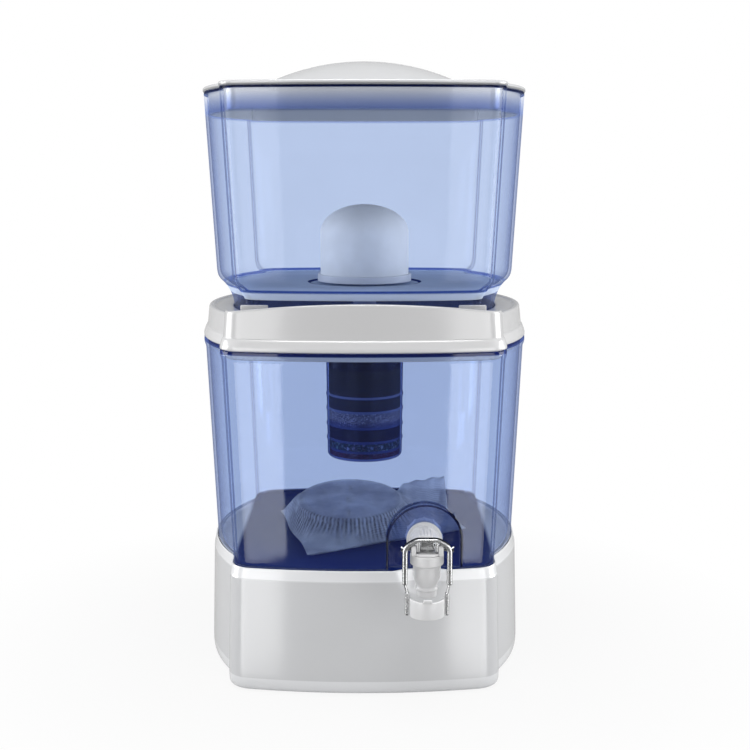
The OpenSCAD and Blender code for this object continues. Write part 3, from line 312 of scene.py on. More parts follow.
def smooth(mesh, sharp):
    """Shades a mesh smooth, with sharp edges past an angle in degrees."""
    mesh.polygons.foreach_set("use_smooth", np.ones(len(mesh.polygons), bool))
    mesh.set_sharp_from_angle(angle=math.radians(sharp))
    mesh.update()


def scratch(part):
    """A throw-away object for a cut or a blend."""
    return put("scratch", part, None, None)


def baked(ob, sharp):
    """Applies an object's modifiers to its mesh."""
    graph = bpy.context.evaluated_depsgraph_get()
    new = bpy.data.meshes.new_from_object(ob.evaluated_get(graph), depsgraph=graph)
    ob.modifiers.clear()
    old, ob.data = ob.data, new
    bpy.data.meshes.remove(old)
    smooth(new, sharp)


def cut(ob, part, operation="DIFFERENCE", sharp=40.0):
    """Cuts a part out of an object, or joins or meets it, and applies the result."""
    tool = scratch(part)
    mod = ob.modifiers.new("cut", "BOOLEAN")
    mod.object, mod.operation, mod.solver = tool, operation, "EXACT"
    baked(ob, sharp)
    bpy.data.objects.remove(tool)
    if len(ob.data.polygons) < FEWEST_FACES:
        raise RuntimeError(f"{ob.name}: the cut left nothing of the piece")


def blended(ob, voxel, keep, relax):
    """Melts overlapping shells into one skin by voxels, relaxes it and thins its faces."""
    melt = ob.modifiers.new("melt", "REMESH")
    melt.mode, melt.voxel_size = "VOXEL", voxel * MM
    ease = ob.modifiers.new("ease", "SMOOTH")
    ease.factor, ease.iterations = 0.5, relax
    thin = ob.modifiers.new("thin", "DECIMATE")
    thin.ratio = keep
    baked(ob, 50.0)


# ---------------------------------------------------------------- plan outline
# For a half width of 1: bowed panels at front and back end in rounded corners that stand
# proud of two bowed sides, with a notch where a side meets the corner.
BOW_R = 3.73
CORNER = (0.67, 0.147)
NOTCH_Y = 0.687
SIDE_END = CORNER[0] + CORNER[1]
SIDE_R = ((1 - SIDE_END) ** 2 + NOTCH_Y ** 2) / (2 * (1 - SIDE_END))
BOW_MID = BOW_R - 1
CORNER_Y = BOW_MID - math.sqrt((BOW_R - CORNER[1]) ** 2 - CORNER[0] ** 2)


def quarter(bow_n):
    """A quarter of the outline, from the middle of the front to the middle of the right side.

    Arc of the bow, arc of the rounded corner, straight side of the corner, a parabola in the
    notch and the arc of the side.
    """
    corner_n, side_n, reach = 9, 14, 0.02
    end = math.asin(CORNER[0] / (BOW_R - CORNER[1]))
    a = np.linspace(0, end, bow_n)
    bow = np.stack([BOW_R * np.sin(a), BOW_MID - BOW_R * np.cos(a)], -1)
    a = np.linspace(end, math.pi / 2, corner_n)[1:]
    turn = np.stack([CORNER[0] + CORNER[1] * np.sin(a), CORNER_Y - CORNER[1] * np.cos(a)], -1)
    side_a = math.asin(NOTCH_Y / SIDE_R)
    a = np.linspace(side_a - reach / SIDE_R, 0, side_n)
    side = np.stack([1 - SIDE_R + SIDE_R * np.cos(a), -SIDE_R * np.sin(a)], -1)
    corner = np.array([SIDE_END, -NOTCH_Y])
    start = corner - [0, reach]
    t = np.linspace(0, 1, 6)[:-1, None]
    notch = (1 - t) ** 2 * start + 2 * t * (1 - t) * corner + t * t * side[0]
    half_way = (turn[-1] + start) / 2
    return np.vstack([bow, turn, half_way, notch, side])


def plan(bow_front, bow_back):
    """The whole outline, counter-clockwise seen from above, from the middle of the front."""
    f, b = quarter(bow_front), quarter(bow_back)
    return np.vstack([
        f[:-1], b[::-1][:-1] * [1, -1], b[:-1] * [-1, -1], f[::-1][:-1] * [-1, 1],
    ])


def bow_drop(x, half):
    """How far the front panel lies behind its middle, x to the side, for a half width."""
    return BOW_R * half - np.sqrt((BOW_R * half) ** 2 - x * x)


def rings_of(profile, outline, lift=0.0):
    """Rings over an outline for a profile of [half width, height, lift weight, roundness].

    A ring is half * ((1 - w) outline + w direction), which is the outline at w = 0 and a circle
    at w = 1, at the height z + lift weight * lift of that point of the outline.
    """
    p = np.asarray(profile, float)
    p = np.pad(p, ((0, 0), (0, 4 - p.shape[1])))
    unit = outline / np.linalg.norm(outline, axis=1, keepdims=True)
    half, z, share, w = (p[:, k, None] for k in range(4))
    x = half * ((1 - w) * outline[:, 0] + w * unit[:, 0])
    y = half * ((1 - w) * outline[:, 1] + w * unit[:, 1])
    return np.stack([x, y, z + share * lift + 0 * x], -1)


def smooth_step(v, low, high):
    """0 below low, 1 above high and 3 t^2 - 2 t^3 between."""
    t = np.clip((v - low) / (high - low), 0, 1)
    return t * t * (3 - 2 * t)


def later_of(a, b, k):
    """The larger of a and b, blended over k: max + k h (1 - h) with h = 1/2 + (b - a) / 2k."""
    h = np.clip(0.5 + 0.5 * (b - a) / k, 0, 1)
    return a * (1 - h) + b * h + k * h * (1 - h)


# ---------------------------------------------------------------- finishes
class Shader:
    """Node tree of a material or a world: nodes are added by kind and joined by socket."""

    def __init__(self, owner, output="ShaderNodeOutputMaterial"):
        owner.use_nodes = True
        self.owner, self.tree = owner, owner.node_tree
        self.tree.nodes.clear()
        self.out = self.add(output)
        self.place = self.add("ShaderNodeTexCoord").outputs["Object"]

    def add(self, kind, inputs=None, **settings):
        """Adds a node, and gives the inputs that are named a socket or a constant."""
        node = self.tree.nodes.new(kind)
        for key, value in settings.items():
            setattr(node, key, value)
        for key, value in (inputs or {}).items():
            self.set(node.inputs[key], value)
        return node

    def set(self, socket, value):
        """Joins a socket to another one, or gives it a constant."""
        if isinstance(value, bpy.types.NodeSocket):
            self.tree.links.new(value, socket)
        elif hasattr(value, "__len__") and len(value) == 3 and len(socket.default_value) == 4:
            socket.default_value = (*value, 1.0)
        else:
            socket.default_value = value

    def maths(self, operation, a, b=0.0):
        return self.add("ShaderNodeMath", {0: a, 1: b}, operation=operation).outputs[0]

    def times(self, product, *others):
        for other in others:
            product = self.maths("MULTIPLY", product, other)
        return product

    def plus(self, a, b):
        return self.maths("ADD", a, b)

    def less(self, a, b):
        return self.maths("SUBTRACT", a, b)

    def square_sum(self, a, b):
        return self.plus(self.maths("POWER", a, 2.0), self.maths("POWER", b, 2.0))

    def span(self, a, b):
        """Length of (a, b)."""
        return self.maths("SQRT", self.square_sum(a, b))

    def off(self, a, b):
        """Distance between two numbers."""
        return self.maths("ABSOLUTE", self.less(a, b))

    def mix(self, share, a, b):
        inputs = {"Factor": share, "A": a, "B": b}
        return self.add("ShaderNodeMix", inputs, data_type="RGBA").outputs["Result"]

    def noise(self, scale, detail=2.0, rough=0.5, place=None):
        inputs = {"Vector": place or self.place, "Scale": scale, "Detail": detail,
                  "Roughness": rough}
        return self.add("ShaderNodeTexNoise", inputs).outputs["Fac"]

    def cells(self, scale, feature="F1"):
        inputs = {"Vector": self.place, "Scale": scale}
        return self.add("ShaderNodeTexVoronoi", inputs, feature=feature).outputs

    def spread(self, value, low, high, new_low=0.0, new_high=1.0):
        """Low to high becomes new low to new high, and no more on either side."""
        return self.add("ShaderNodeMapRange", {
            "Value": value, "From Min": low, "From Max": high, "To Min": new_low,
            "To Max": new_high}).outputs["Result"]

    def fall(self, value, low, high):
        """1 below low, 0 above high."""
        return self.spread(value, low, high, 1.0, 0.0)

    def band(self, value, rise, fall):
        """1 between two levels, each given as the two ends of its slope."""
        return self.times(self.spread(value, *rise), self.fall(value, *fall))

    def ramp(self, value, *stops):
        """Colours at stops of (place, colour)."""
        node = self.add("ShaderNodeValToRGB", {"Fac": value})
        marks = node.color_ramp.elements
        while len(marks) < len(stops):
            marks.new(0.5)
        for mark, (at, shade) in zip(marks, stops):
            mark.position, mark.color = at, (*shade, 1.0)
        return node.outputs["Color"]

    def red(self, colour):
        return self.add("ShaderNodeSeparateColor", {0: colour}).outputs[0]

    def bump(self, height, strength, distance):
        inputs = {"Height": height, "Strength": strength, "Distance": distance * MM}
        return self.add("ShaderNodeBump", inputs).outputs["Normal"]

    def axes(self, place=None):
        """The coordinates X, Y and Z, in metres."""
        return self.add("ShaderNodeSeparateXYZ", {0: place or self.place}).outputs

    def height_mm(self):
        """Height over the worktop, in millimetres."""
        return self.times(self.axes()["Z"], 1000.0)

    def stretched(self, *scale):
        return self.add("ShaderNodeMapping", {"Vector": self.place, "Scale": scale}).outputs[0]

    def facing(self):
        """0 where a surface is seen square on, 1 where it is seen edge-on."""
        return self.add("ShaderNodeLayerWeight", {"Blend": 0.5}).outputs["Facing"]

    def rays(self, *kinds):
        """Shares of the kinds of ray, such as Camera."""
        path = self.add("ShaderNodeLightPath").outputs
        return [path[f"Is {kind} Ray"] for kind in kinds]

    def shader(self, kind, **inputs):
        inputs = {key.replace("_", " "): value for key, value in inputs.items()}
        return self.add("ShaderNode" + kind, inputs).outputs[0]

    def solid(self, base, rough, **inputs):
        return self.shader("BsdfPrincipled", Base_Color=base, Roughness=rough, **inputs)

    def between(self, share, a, b):
        return self.add("ShaderNodeMixShader", {0: share, 1: a, 2: b}).outputs[0]

    def done(self, shader):
        self.set(self.out.inputs["Surface"], shader)
        return self.owner


def new_finish(name):
    return Shader(bpy.data.materials.new(name))


def scaled(shade, k):
    """A colour made k times as bright, at most 1."""
    return tuple(min(1.0, c * k) for c in shade)


def under_skin(depth, reach):
    """Inputs for light that goes into a surface as far as reach, in metres."""
    return {"Subsurface_Weight": depth, "Subsurface_Radius": (reach,) * 3,
            "Subsurface_Scale": 1.0}


def moulded(name, shade, rough=0.34, depth=0.0, grain=0.004, cloud=0.012, polish=0.0, painted_bands=()):
    """Moulded plastic: faint clouding in the colour, flow marks in the gloss, a fine texture,
    and a polished skin over it. A band is (low, high, shade): between these heights the
    colour is painted paler, as a painted highlight, or deeper, as a painted shadow line."""
    s = new_finish(name)
    flow = s.noise(38.0, 4.0, 0.6)
    base = s.mix(s.noise(9.0, 3.0), scaled(shade, 1 - cloud), scaled(shade, 1 + cloud))
    # painted light by height: each band paints a highlight or a shadow line into the colour
    for low, high, tone in painted_bands:
        share = s.band(s.height_mm(), (low - 0.3, low + 0.3), (high - 0.3, high + 0.3))
        base = s.mix(share, base, tone)
    lump = s.plus(s.times(flow, 0.6), s.noise(900.0, 2.0))
    return s.done(s.solid(
        base, s.spread(flow, 0.3, 0.7, rough - 0.015, rough + 0.02), IOR=1.49,
        Coat_Weight=polish, Coat_Roughness=0.14, Coat_IOR=1.75,
        Normal=s.bump(lump, 0.25, grain), **under_skin(depth, 0.006)))


# Heights, in millimetres, of the middle cover, where the lower tank's clear plastic gives way
# to the upper tank's, and of the foot of the lip that hides the end of the lid's shadow.
COVER_SPAN, LIP_FOOT = (310.0, 316.0), (531.2, 531.4)
UPPER_MIRROR = 0.28     # how much of the square-on mirroring the upper tank keeps
SIDE_FADE = 4.0         # over how many millimetres a floor's shade ends to the side


def clear_plastic(name, tint, deep, floors, haze, edge, gloss, base, body, low=None, fold=None,
                  step=None, long_way=0.0, brim=None, wings=None):
    """Clear wall: it lets a tint through, a deeper one where it is seen edge-on (as the angle
    to the power edge), and mirrors by Schlick's rule on the angle of view, gloss being the most
    and base the least. Its own haze, the share haze, is of the shade body, and deeper by
    long_way where the wall is seen edge-on. Lamps shine through it with little loss. Below the
    middle cover the tint is low.

    floors: (foot, top, fade, shade, haze, half width), where the wall lets its shade through
    and mirrors less, as thick plastic does; some of these bands are painted shade, and one is a
    painted shadow line under the lid. fold: a dark line painted along the arch's turned edge and
    shade painted inside the arch, (x, z, radius, width, shade of the line, shade inside). step: a
    round edge in a floor, (low, high, radius, width, shade). brim: the lid's shadow on the wall,
    (foot, top, foot shade, top shade). wings: the milky ends of a floor, (foot, top, half width,
    shade, haze)."""
    s = new_finish(name)
    angle, high, axes = s.facing(), s.height_mm(), s.axes()
    aside = s.times(s.maths("ABSOLUTE", axes["X"]), 1000.0)
    let = s.mix(s.spread(high, *COVER_SPAN), low or tint, tint)
    let = s.mix(s.maths("POWER", angle, edge), let, deep)
    let = s.mix(s.spread(s.noise(14.0, 3.0), 0.25, 0.75, 0.0, 0.10), let, scaled(tint, 0.86))
    # painted dark line along the arch's edge and painted shade inside the arch
    if fold:
        line, inside = arch_line_and_shade(s, *fold[:4])
        let = s.mix(line, s.mix(inside, let, fold[5]), fold[4])
    fog = s.spread(s.noise(5.0, 3.0), 0.3, 0.7, 0.5 * haze, 1.5 * haze)
    fog = s.plus(fog, s.times(s.maths("POWER", angle, 5.0), long_way))
    for foot, top, fade, shade, murk, half in floors:
        share = s.times(s.band(high, (foot - 0.05, foot + 0.05), (top, top + fade)),
                        s.fall(aside, half, half + SIDE_FADE))
        let = s.mix(share, let, shade)
        body = s.mix(share, body, scaled(shade, 1.1))
        fog = s.plus(fog, s.times(share, murk))
        gloss = s.times(s.plus(s.times(share, -0.8), 1.0), gloss)
    if step:
        foot, top, radius, width, shade = step
        near = s.times(s.fall(s.off(s.span(axes["X"], axes["Y"]), radius * MM),
                              0.6 * width * MM, width * MM),
                       s.band(high, (foot - 0.1, foot), (top, top + 0.1)))
        let = s.mix(near, let, shade)
        fog = s.times(fog, s.less(1.0, near))
    if wings:
        foot, top, half, shade, murk = wings
        near = s.times(s.band(high, (foot - 0.1, foot), (top, top + 2.0)),
                       s.spread(aside, half, half + SIDE_FADE))
        body = s.mix(near, body, shade)
        fog = s.plus(fog, s.times(near, murk))
    if brim:
        foot, top, foot_shade, top_shade = brim
        near = s.band(high, (foot - 2.0, foot + 1.0), LIP_FOOT)
        let = s.mix(near, let, s.mix(s.spread(high, foot, top), foot_shade, top_shade))
        gloss = s.times(gloss, s.less(1.0, near))
    let = s.mix(s.times(*s.rays("Shadow"), 0.94), let, (0.96, 0.975, 1.0))
    mirror = s.shader(
        "BsdfGlossy", Color=(0.95, 0.97, 1.0), Normal=s.bump(s.noise(22.0, 2.0), 0.35, 0.25),
        Roughness=s.spread(s.noise(60.0, 3.0), 0.3, 0.7, 0.03, 0.09))
    clear = s.between(fog, s.shader("BsdfTransparent", Color=let),
                      s.shader("BsdfDiffuse", Color=body))
    schlick = s.times(s.maths("POWER", angle, 5.0), gloss)
    square_on = s.spread(high, *COVER_SPAN, base, UPPER_MIRROR * base)
    return s.done(s.between(s.plus(schlick, square_on), clear, mirror))


def arch_line_and_shade(s, x, z, radius, width):
    """Shares of the painted arch in the front wall: 1 near its outline, where a dark line is
    painted, and 1 inside it, where shade is painted. The distance is |hypot(x, z) - radius|
    above the arch's middle, and ||x| - radius| under it."""
    axes = s.axes()
    across = s.less(s.times(axes["X"], 1000.0), x)
    up = s.maths("MAXIMUM", s.less(s.times(axes["Z"], 1000.0), z), 0.0)
    run = s.span(across, up)
    front = s.fall(axes["Y"], -0.125, -0.120)
    return (s.times(s.fall(s.off(run, radius), 0.55 * width, width), front),
            s.times(s.fall(run, radius - width, radius), front))


def rib_shade_lines(s, middle, ribs, low, high):
    """Shares of painted shade lines round the case, where cos(ribs times the angle round its
    middle) is low, and the distance from its middle in metres."""
    axes = s.axes()
    x, y = (s.less(axes[key], at * MM) for key, at in zip("XY", middle))
    turn = s.maths("COSINE", s.times(s.maths("ARCTAN2", y, x), float(ribs)))
    return s.fall(turn, low, high), s.span(x, y)


def ribbed_plastic(name, shade, shaded_gap, middle, ribs):
    """Milky plastic of the mineral case: its ribs are pale, and shade is painted deep into the gaps
    between them.
    """
    s = new_finish(name)
    rib, out = rib_shade_lines(s, middle, ribs, 0.0, 0.5)
    share = s.times(rib, s.spread(out, 0.0455, 0.0475))
    mottle = s.noise(45.0, 3.0)
    base = s.mix(share, s.mix(mottle, scaled(shade, 0.88), scaled(shade, 1.06)), shaded_gap)
    solid = s.solid(base, s.spread(mottle, 0.2, 0.8, 0.2, 0.34), **under_skin(0.2, 0.004))
    clear = s.shader("BsdfTransparent", Color=(0.80, 0.85, 0.96))
    return s.done(s.between(s.plus(s.times(share, 0.15), 0.80), clear, solid))


def granules(name, shades, size, bump=0.5, rough=0.6, pale=0.0):
    """Packed grains: a cell pattern at the grains' size, each cell in a shade of its own, with
    the grains standing proud of the gaps between them, and shade painted into the gaps at 0.35
    of the first colour."""
    s = new_finish(name)
    stops = [(i / max(1, len(shades) - 1), c) for i, c in enumerate(shades)]
    own = s.ramp(s.red(s.cells(1000.0 / size)["Color"]), *stops)
    near = s.cells(1000.0 / size, "DISTANCE_TO_EDGE")["Distance"]
    shaded_gap = s.spread(near, 0.02, 0.22)
    dust = s.noise(1500.0, 2.0)
    # painted shade between the grains
    base = s.mix(s.spread(dust, 0.45, 0.75, 0.0, pale),
                 s.mix(shaded_gap, scaled(shades[0], 0.35), own), (0.75, 0.75, 0.78))
    return s.done(s.solid(base, s.spread(dust, 0.2, 0.8, rough - 0.1, rough + 0.15),
                          Normal=s.bump(shaded_gap, bump, 0.5 * size)))


def metal(name, shade, rough, scratch_share=0.1, rim=1.0, purity=1.0):
    """Polished metal: smudges in the gloss and long fine scratches. Towards its outline its
    colour and its mirroring at grazing angles fall to the share rim: a painted dark reflection
    that draws round bars with a dark edge. A purity under 1 lets some of the satin under the
    polish show."""
    s = new_finish(name)
    smudge = s.noise(120.0, 4.0, 0.6)
    line = s.noise(2600.0, 2.0, 0.5, s.stretched(1.0, 1.0, 0.06))
    base = s.mix(s.spread(smudge, 0.3, 0.8), shade, scaled(shade, 0.86))
    # painted dark reflection: towards the outline the colour falls to rim, and Specular_Tint
    # darkens the grazing mirroring to rim
    base = s.mix(s.spread(s.facing(), 0.25, 0.75), base, scaled(shade, rim))
    return s.done(s.solid(
        base, s.spread(smudge, 0.3, 0.75, rough * 0.7, rough * 1.6), Metallic=purity,
        Specular_Tint=(rim,) * 3, Normal=s.bump(line, scratch_share, 0.02)))


def rubber(name, shade, rough=0.6):
    """Moulded rubber: matt, with dust in its grain."""
    s = new_finish(name)
    grain = s.noise(700.0, 3.0, 0.6)
    dust = s.spread(s.noise(60.0, 3.0), 0.4, 0.75, 0.0, 0.25)
    base = s.mix(dust, shade, scaled(shade, 1.9))
    return s.done(s.solid(base, s.spread(grain, 0.2, 0.8, rough - 0.1, rough + 0.2),
                          Normal=s.bump(grain, 0.5, 0.06)))


def fired_clay(name, shade):
    """Porous ceramic: fine open grain, faint rings of its casting and soft mottling."""
    s = new_finish(name)
    grain = s.noise(1300.0, 4.0, 0.7)
    rings = s.add("ShaderNodeTexWave", {"Vector": s.place, "Scale": 60.0, "Distortion": 1.5},
                  wave_type="BANDS", bands_direction="Z")
    mottle = s.spread(s.noise(70.0, 4.0), 0.3, 0.7)
    lump = s.plus(s.times(rings.outputs["Fac"], 0.25), grain)
    base = s.mix(mottle, scaled(shade, 0.95), scaled(shade, 1.03))
    return s.done(s.solid(base, s.spread(grain, 0.2, 0.8, 0.6, 0.85),
                          Normal=s.bump(lump, 0.35, 0.08), **under_skin(0.15, 0.003)))


def felted(name, shade):
    """Pressed felt: tangled fibres in two directions."""
    s = new_finish(name)
    fibre = s.noise(900.0, 5.0, 0.75, s.stretched(1.0, 1.0, 6.0))
    lump = s.plus(s.times(s.noise(140.0, 3.0), 0.6), fibre)
    return s.done(s.solid(s.mix(fibre, scaled(shade, 0.72), scaled(shade, 1.08)), 0.95,
                          Sheen_Weight=0.4, Normal=s.bump(lump, 0.7, 0.25)))


def pebble(name, shade):
    """River stone: each in a tone of its own, with veins and a polished skin."""
    s = new_finish(name)
    own = s.ramp(s.red(s.cells(80.0)["Color"]), (0.0, scaled(shade, 0.6)), (0.4, shade),
                 (0.75, (0.62, 0.6, 0.56)), (1.0, (0.33, 0.2, 0.15)))
    vein = s.noise(260.0, 6.0, 0.7)
    base = s.mix(s.spread(vein, 0.52, 0.6), own, scaled(shade, 1.7))
    return s.done(s.solid(base, s.spread(vein, 0.3, 0.7, 0.25, 0.5),
                          Normal=s.bump(vein, 0.4, 0.12)))


def woven(name, shade, thread, middle, ribs):
    """Plain mesh weave on the sheet's own map, in millimetres: threads over and under, thin
    film in the openings, and fuzz. Its colour is painted darker and paler by the noise that
    bumps its creases, as painted crease shade. Round the case, at 51 to 66 mm from its middle,
    deep lines are painted over the gaps between its ribs, as painted shade of the ribs under
    the cloth."""
    s = new_finish(name)
    flat = s.axes(s.add("ShaderNodeUVMap", uv_map="cut").outputs[0])
    strand = s.maths("MAXIMUM", *(
        s.maths("ABSOLUTE", s.maths("SINE", s.times(flat[k], math.pi / thread))) for k in (0, 1)))
    fuzz, crease = s.noise(500.0, 3.0), s.noise(34.0, 4.0, 0.6)
    # painted crease shade: the crease noise darkens the colour to 0.62 and lightens it to 1.16
    base = s.mix(s.spread(crease, 0.33, 0.67), scaled(shade, 0.62), scaled(shade, 1.16))
    # painted shade of the case's rib gaps under the cloth, at 0.10 of the colour
    rib, near = rib_shade_lines(s, middle, ribs, -0.2, 0.3)
    shaded_gap = s.times(rib, s.band(near, (0.0505, 0.053), (0.059, 0.066)),
                  s.spread(fuzz, 0.3, 0.6, 0.35, 0.7))
    base = s.mix(shaded_gap, base, scaled(shade, 0.10))
    cloth = s.solid(base, 0.7, Sheen_Weight=0.25, Normal=s.bump(s.plus(strand, crease), 0.6, 0.2))
    both = s.between(0.35, cloth, s.shader("BsdfTranslucent", Color=base))
    cover = s.plus(s.spread(strand, 0.72, 0.9), s.times(fuzz, 0.3))
    clear = s.shader("BsdfTransparent", Color=(0.93, 0.95, 1.0))
    return s.done(s.between(s.spread(cover, 0.0, 1.3, 0.46, 0.82), clear, both))


def finishes(c, sizes):
    """Every finish of the water filter by its slot's name, from the colours c and the sizes."""
    everywhere = 200.0      # a half width that reaches past the walls
    floors = (              # foot, top, fade, shade, haze, half width
        # thick floor plate, with painted shade: its deep tint and navy haze stand for the shaded
        # stand seen through it
        (108.0, 113.4, 2.2, tuple(c.pool), 0.42, 118.0),                # lower tank's floor
        (305.8, 309.4, 0.2, srgb("#5F74B4"), 0.0, everywhere),          # lower tank's lip
        # painted shade: the foot that stands in the cover's well is given a deeper tint
        (330.0, 350.8, 0.4, srgb("#BCC6E2"), 0.0, everywhere),          # upper tank's foot
        (351.5, 357.4, 1.0, srgb("#D6E3FF"), 0.54, everywhere),         # upper tank's floor
        (358.2, 360.0, 0.4, srgb("#8C9FD2"), 0.0, everywhere),          # turn of that floor
        # painted shadow: a dark line on the tank's lip under the lid's edge
        (531.4, 534.0, 0.2, srgb("#5D6C9C"), 0.0, everywhere),          # upper tank's lip
    )
    # painted highlights: the stand's top lip, 104.7 to 116 mm, and the bevel at its foot, up to 13
    # mm, are painted 1.25 times paler
    stand_highlight = scaled(c.stand, 1.25)
    return {
        "stand_white": moulded(
            "stand_plastic", c.stand, 0.30, 0.05, polish=1.0,
            painted_bands=((104.7, 116.0, stand_highlight), (-1.0, 13.0, stand_highlight))),
        "foot_rubber": rubber("foot_rubber", srgb("#3A3B3F")),
        "blue_clear": clear_plastic(
            "clear_blue_plastic", tuple(c.tint), tuple(c.deep), floors, haze=0.006, edge=9.0,
            gloss=0.08, base=0.040, body=srgb("#A3B7E4"), low=tuple(c.low_tint), long_way=0.26,
            brim=(513.5, 529.0, srgb("#BCC8E6"), srgb("#FBFCFE")),
            wings=(104.0, 113.4, 118.0, srgb("#FBFCFF"), 0.85),
            step=(353.0, 358.4, 53.5, 1.6, srgb("#4058A0")),
            # fold: the painted dark line round the arch and the painted shade inside it
            fold=(TAP_X, BARREL_Z, ARCH_R + 1.0, 1.15, srgb("#2C4088"), srgb("#C3CFEC"))),
        # painted highlight: the cover's rim bead, 300 to 319.6 mm, is painted 1.1 times paler
        "cover_grey": moulded(
            "cover_plastic", c.cover, 0.25, 0.06, polish=0.55,
            painted_bands=((300.0, 319.6, scaled(c.cover, 1.1)),)),
        # painted shadow: the lid's lower edge over the tank's rim, 533 to 535.3 mm, is painted at
        # 0.45 of its colour
        "lid_white": moulded(
            "lid_plastic", c.lid, 0.24, 0.05, polish=0.5,
            painted_bands=((533.0, 535.3, scaled(c.lid, 0.45)),)),
        "ceramic": fired_clay("dome_ceramic", c.ceramic),
        "filter_white": moulded("filter_plastic", srgb("#E4E5E8"), 0.36, 0.05),
        "silicone": rubber("soft_silicone", srgb("#CFCFC8"), 0.45),
        "dark_rubber": rubber("seal_rubber", srgb("#2E2F33")),
        "cartridge_clear": clear_plastic(
            "cartridge_plastic", srgb("#BECBF0"), srgb("#06103C"), (), haze=0.07, edge=4.0,
            gloss=0.06, base=0.004, body=srgb("#0C268C")),
        "carbon": granules("carbon_granules", (c.carbon, srgb("#141D3C"), srgb("#060A18")), 1.5),
        "fine_carbon": granules(
            "fine_carbon_granules", (srgb("#0E1430"), srgb("#1A2448"), srgb("#080C1C")), 0.8),
        "zeolite": granules(
            "zeolite_granules", (scaled(c.zeolite, 0.35), scaled(c.zeolite, 0.6), srgb("#C9C7D6"),
                                 srgb("#6C6A88")), 1.6, pale=0.1),
        "ceramic_balls": granules(
            "ceramic_balls", (srgb("#6FA380"), srgb("#E9F2E2"), srgb("#33503E"), srgb("#BFE0BA"),
                              srgb("#8A6B5C"), srgb("#FAFAF4")), 3.2, 0.9, 0.35),
        "mineral_sand": granules(
            "mineral_sand", (c.sand, srgb("#B4606A"), srgb("#5A1F2C"), srgb("#C9B3A6")), 1.4),
        "felt": felted("filter_felt", srgb("#7F88A8")),
        # 14245A: painted shade in the gaps between the case's ribs
        "case_blue": ribbed_plastic(
            "case_plastic", srgb("#C8D4F4"), srgb("#14245A"), CASE_MID, sizes.case_ribs),
        "stones": pebble("mineral_stone", c.stones),
        "bag_mesh": woven("bag_mesh", c.bag, sizes.bag_thread, CASE_MID, 2 * sizes.case_ribs),
        "tap_white": moulded("tap_plastic", c.tap, 0.22, 0.35, 0.008, 0.02),
        # rim=0.12: painted dark reflection along the chrome's outline
        "chrome": metal("polished_chrome", srgb("#ECEDEE"), 0.24, rim=0.12, purity=0.9),
        "steel": metal("pin_steel", srgb("#B8BBC0"), 0.22, 0.2),
    }


# ---------------------------------------------------------------- places, in millimetres
TAP_X, TAP_Y, PIVOT_Y = 54.0, -188.062, -195.062
ARCH_Y, ARCH_R, BARREL_Z = -134.062, 32.0, 140.0
ARCH_FOOT, ARCH_END = 96.0, -175.0      # the arch's cutters end under and in front of the tank
LOW_WALL = ((115.5, 144.3), (300.0, 152.3))     # (height, half width) at the wall's two ends
CASE_MID, CASE_R, CASE_Z, CASE_LEAN = (-15.0, 0.0), 50.0, 113.1, math.radians(8)
BED_JOINTS = (203.4, 217.4, 232.8, 246.8)
STAND_TOP, TOP_Z = 114, 563.1
AXIS_R = 0.05           # radius at which a turned profile ends short of its axis
MADE = {}


def finish_of(slot):
    """The finish of a slot, made once from the scene's colours."""
    if not MADE:
        scene = bpy.context.scene
        MADE.update(finishes(scene.water_filter_colours, scene.water_filter_sizes))
    return MADE[slot]


def piece(name, part, slot, body, replaces=(), sharp=40.0):
    """A piece in the finish of its slot."""
    return put(name, part, finish_of(slot), body, replaces, sharp)


def sizes():
    return bpy.context.scene.water_filter_sizes


def at_tap(part):
    """A part moved from the origin to the tap's upright axis."""
    return moved(part, TAP_X, TAP_Y)


def finish_nodes(slot, *names):
    """Gives CAD nodes the finish of a slot."""
    for name in names:
        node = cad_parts[name]
        if not node.material_slots:
            node.data.materials.append(None)
        for s in node.material_slots:
            s.material = finish_of(slot)


# ---------------------------------------------------------------- stand
def scoop_y(x, z, more):
    """Back wall of the leaning round scoop under the tap, moved back by more.

    y = y0 + (s - R + (z - top) sin lean) / cos lean, with s = sqrt(R^2 - dx^2) across the tap.
    """
    lean, r, y0, far_off = math.radians(21), 47.0, -137.362, -1e3
    dx = np.clip(np.abs(x - TAP_X), 0, r)
    s = np.sqrt(r * r - dx * dx)
    y = y0 + more + (s - r + math.sin(lean) * (z - STAND_TOP)) / math.cos(lean)
    return np.where(dx < r, y, far_off)


def stand_surface(e):
    """Closed skin of the stand: rings over the outline, pushed back to the scoop's wall."""
    thick, blend = 3.0, 1.3
    outer = [[148.8, 1.5], [150.45, 4], [151, 10], [148.2, 104], [147.7, 105], [146.2, 113.2],
             [145.67, STAND_TOP]]
    inner = [[145.3, STAND_TOP], [144.8, 113], [144.8, 108], [134.3, 108], [134.3, 105],
             [142.2, 102], [145.2, 95], [148, 10], [147, 1.5]]
    turn = [2, 2, 6, 0.9, 0.9, 0.9, 0.5, 0.5, 0.5, 1, 1, 1, 2, 3, 2, 0.8]
    mark = [0] * len(outer) + [1] * len(inner)
    profile = np.column_stack([np.array(outer + inner), mark, np.zeros(len(mark))])
    profile = densified(rounded(profile, np.array(turn) * e, closed=True), 2.4, closed=True)
    rings = rings_of(profile[:, :2], plan(64, 22))
    x, y, z = rings[..., 0], rings[..., 1], rings[..., 2]
    wall = scoop_y(x, z, thick * profile[:, 2, None])
    rings[..., 1] = np.where(y < 0, later_of(y, wall, blend), y)
    return tube_of(rings, closed=True)


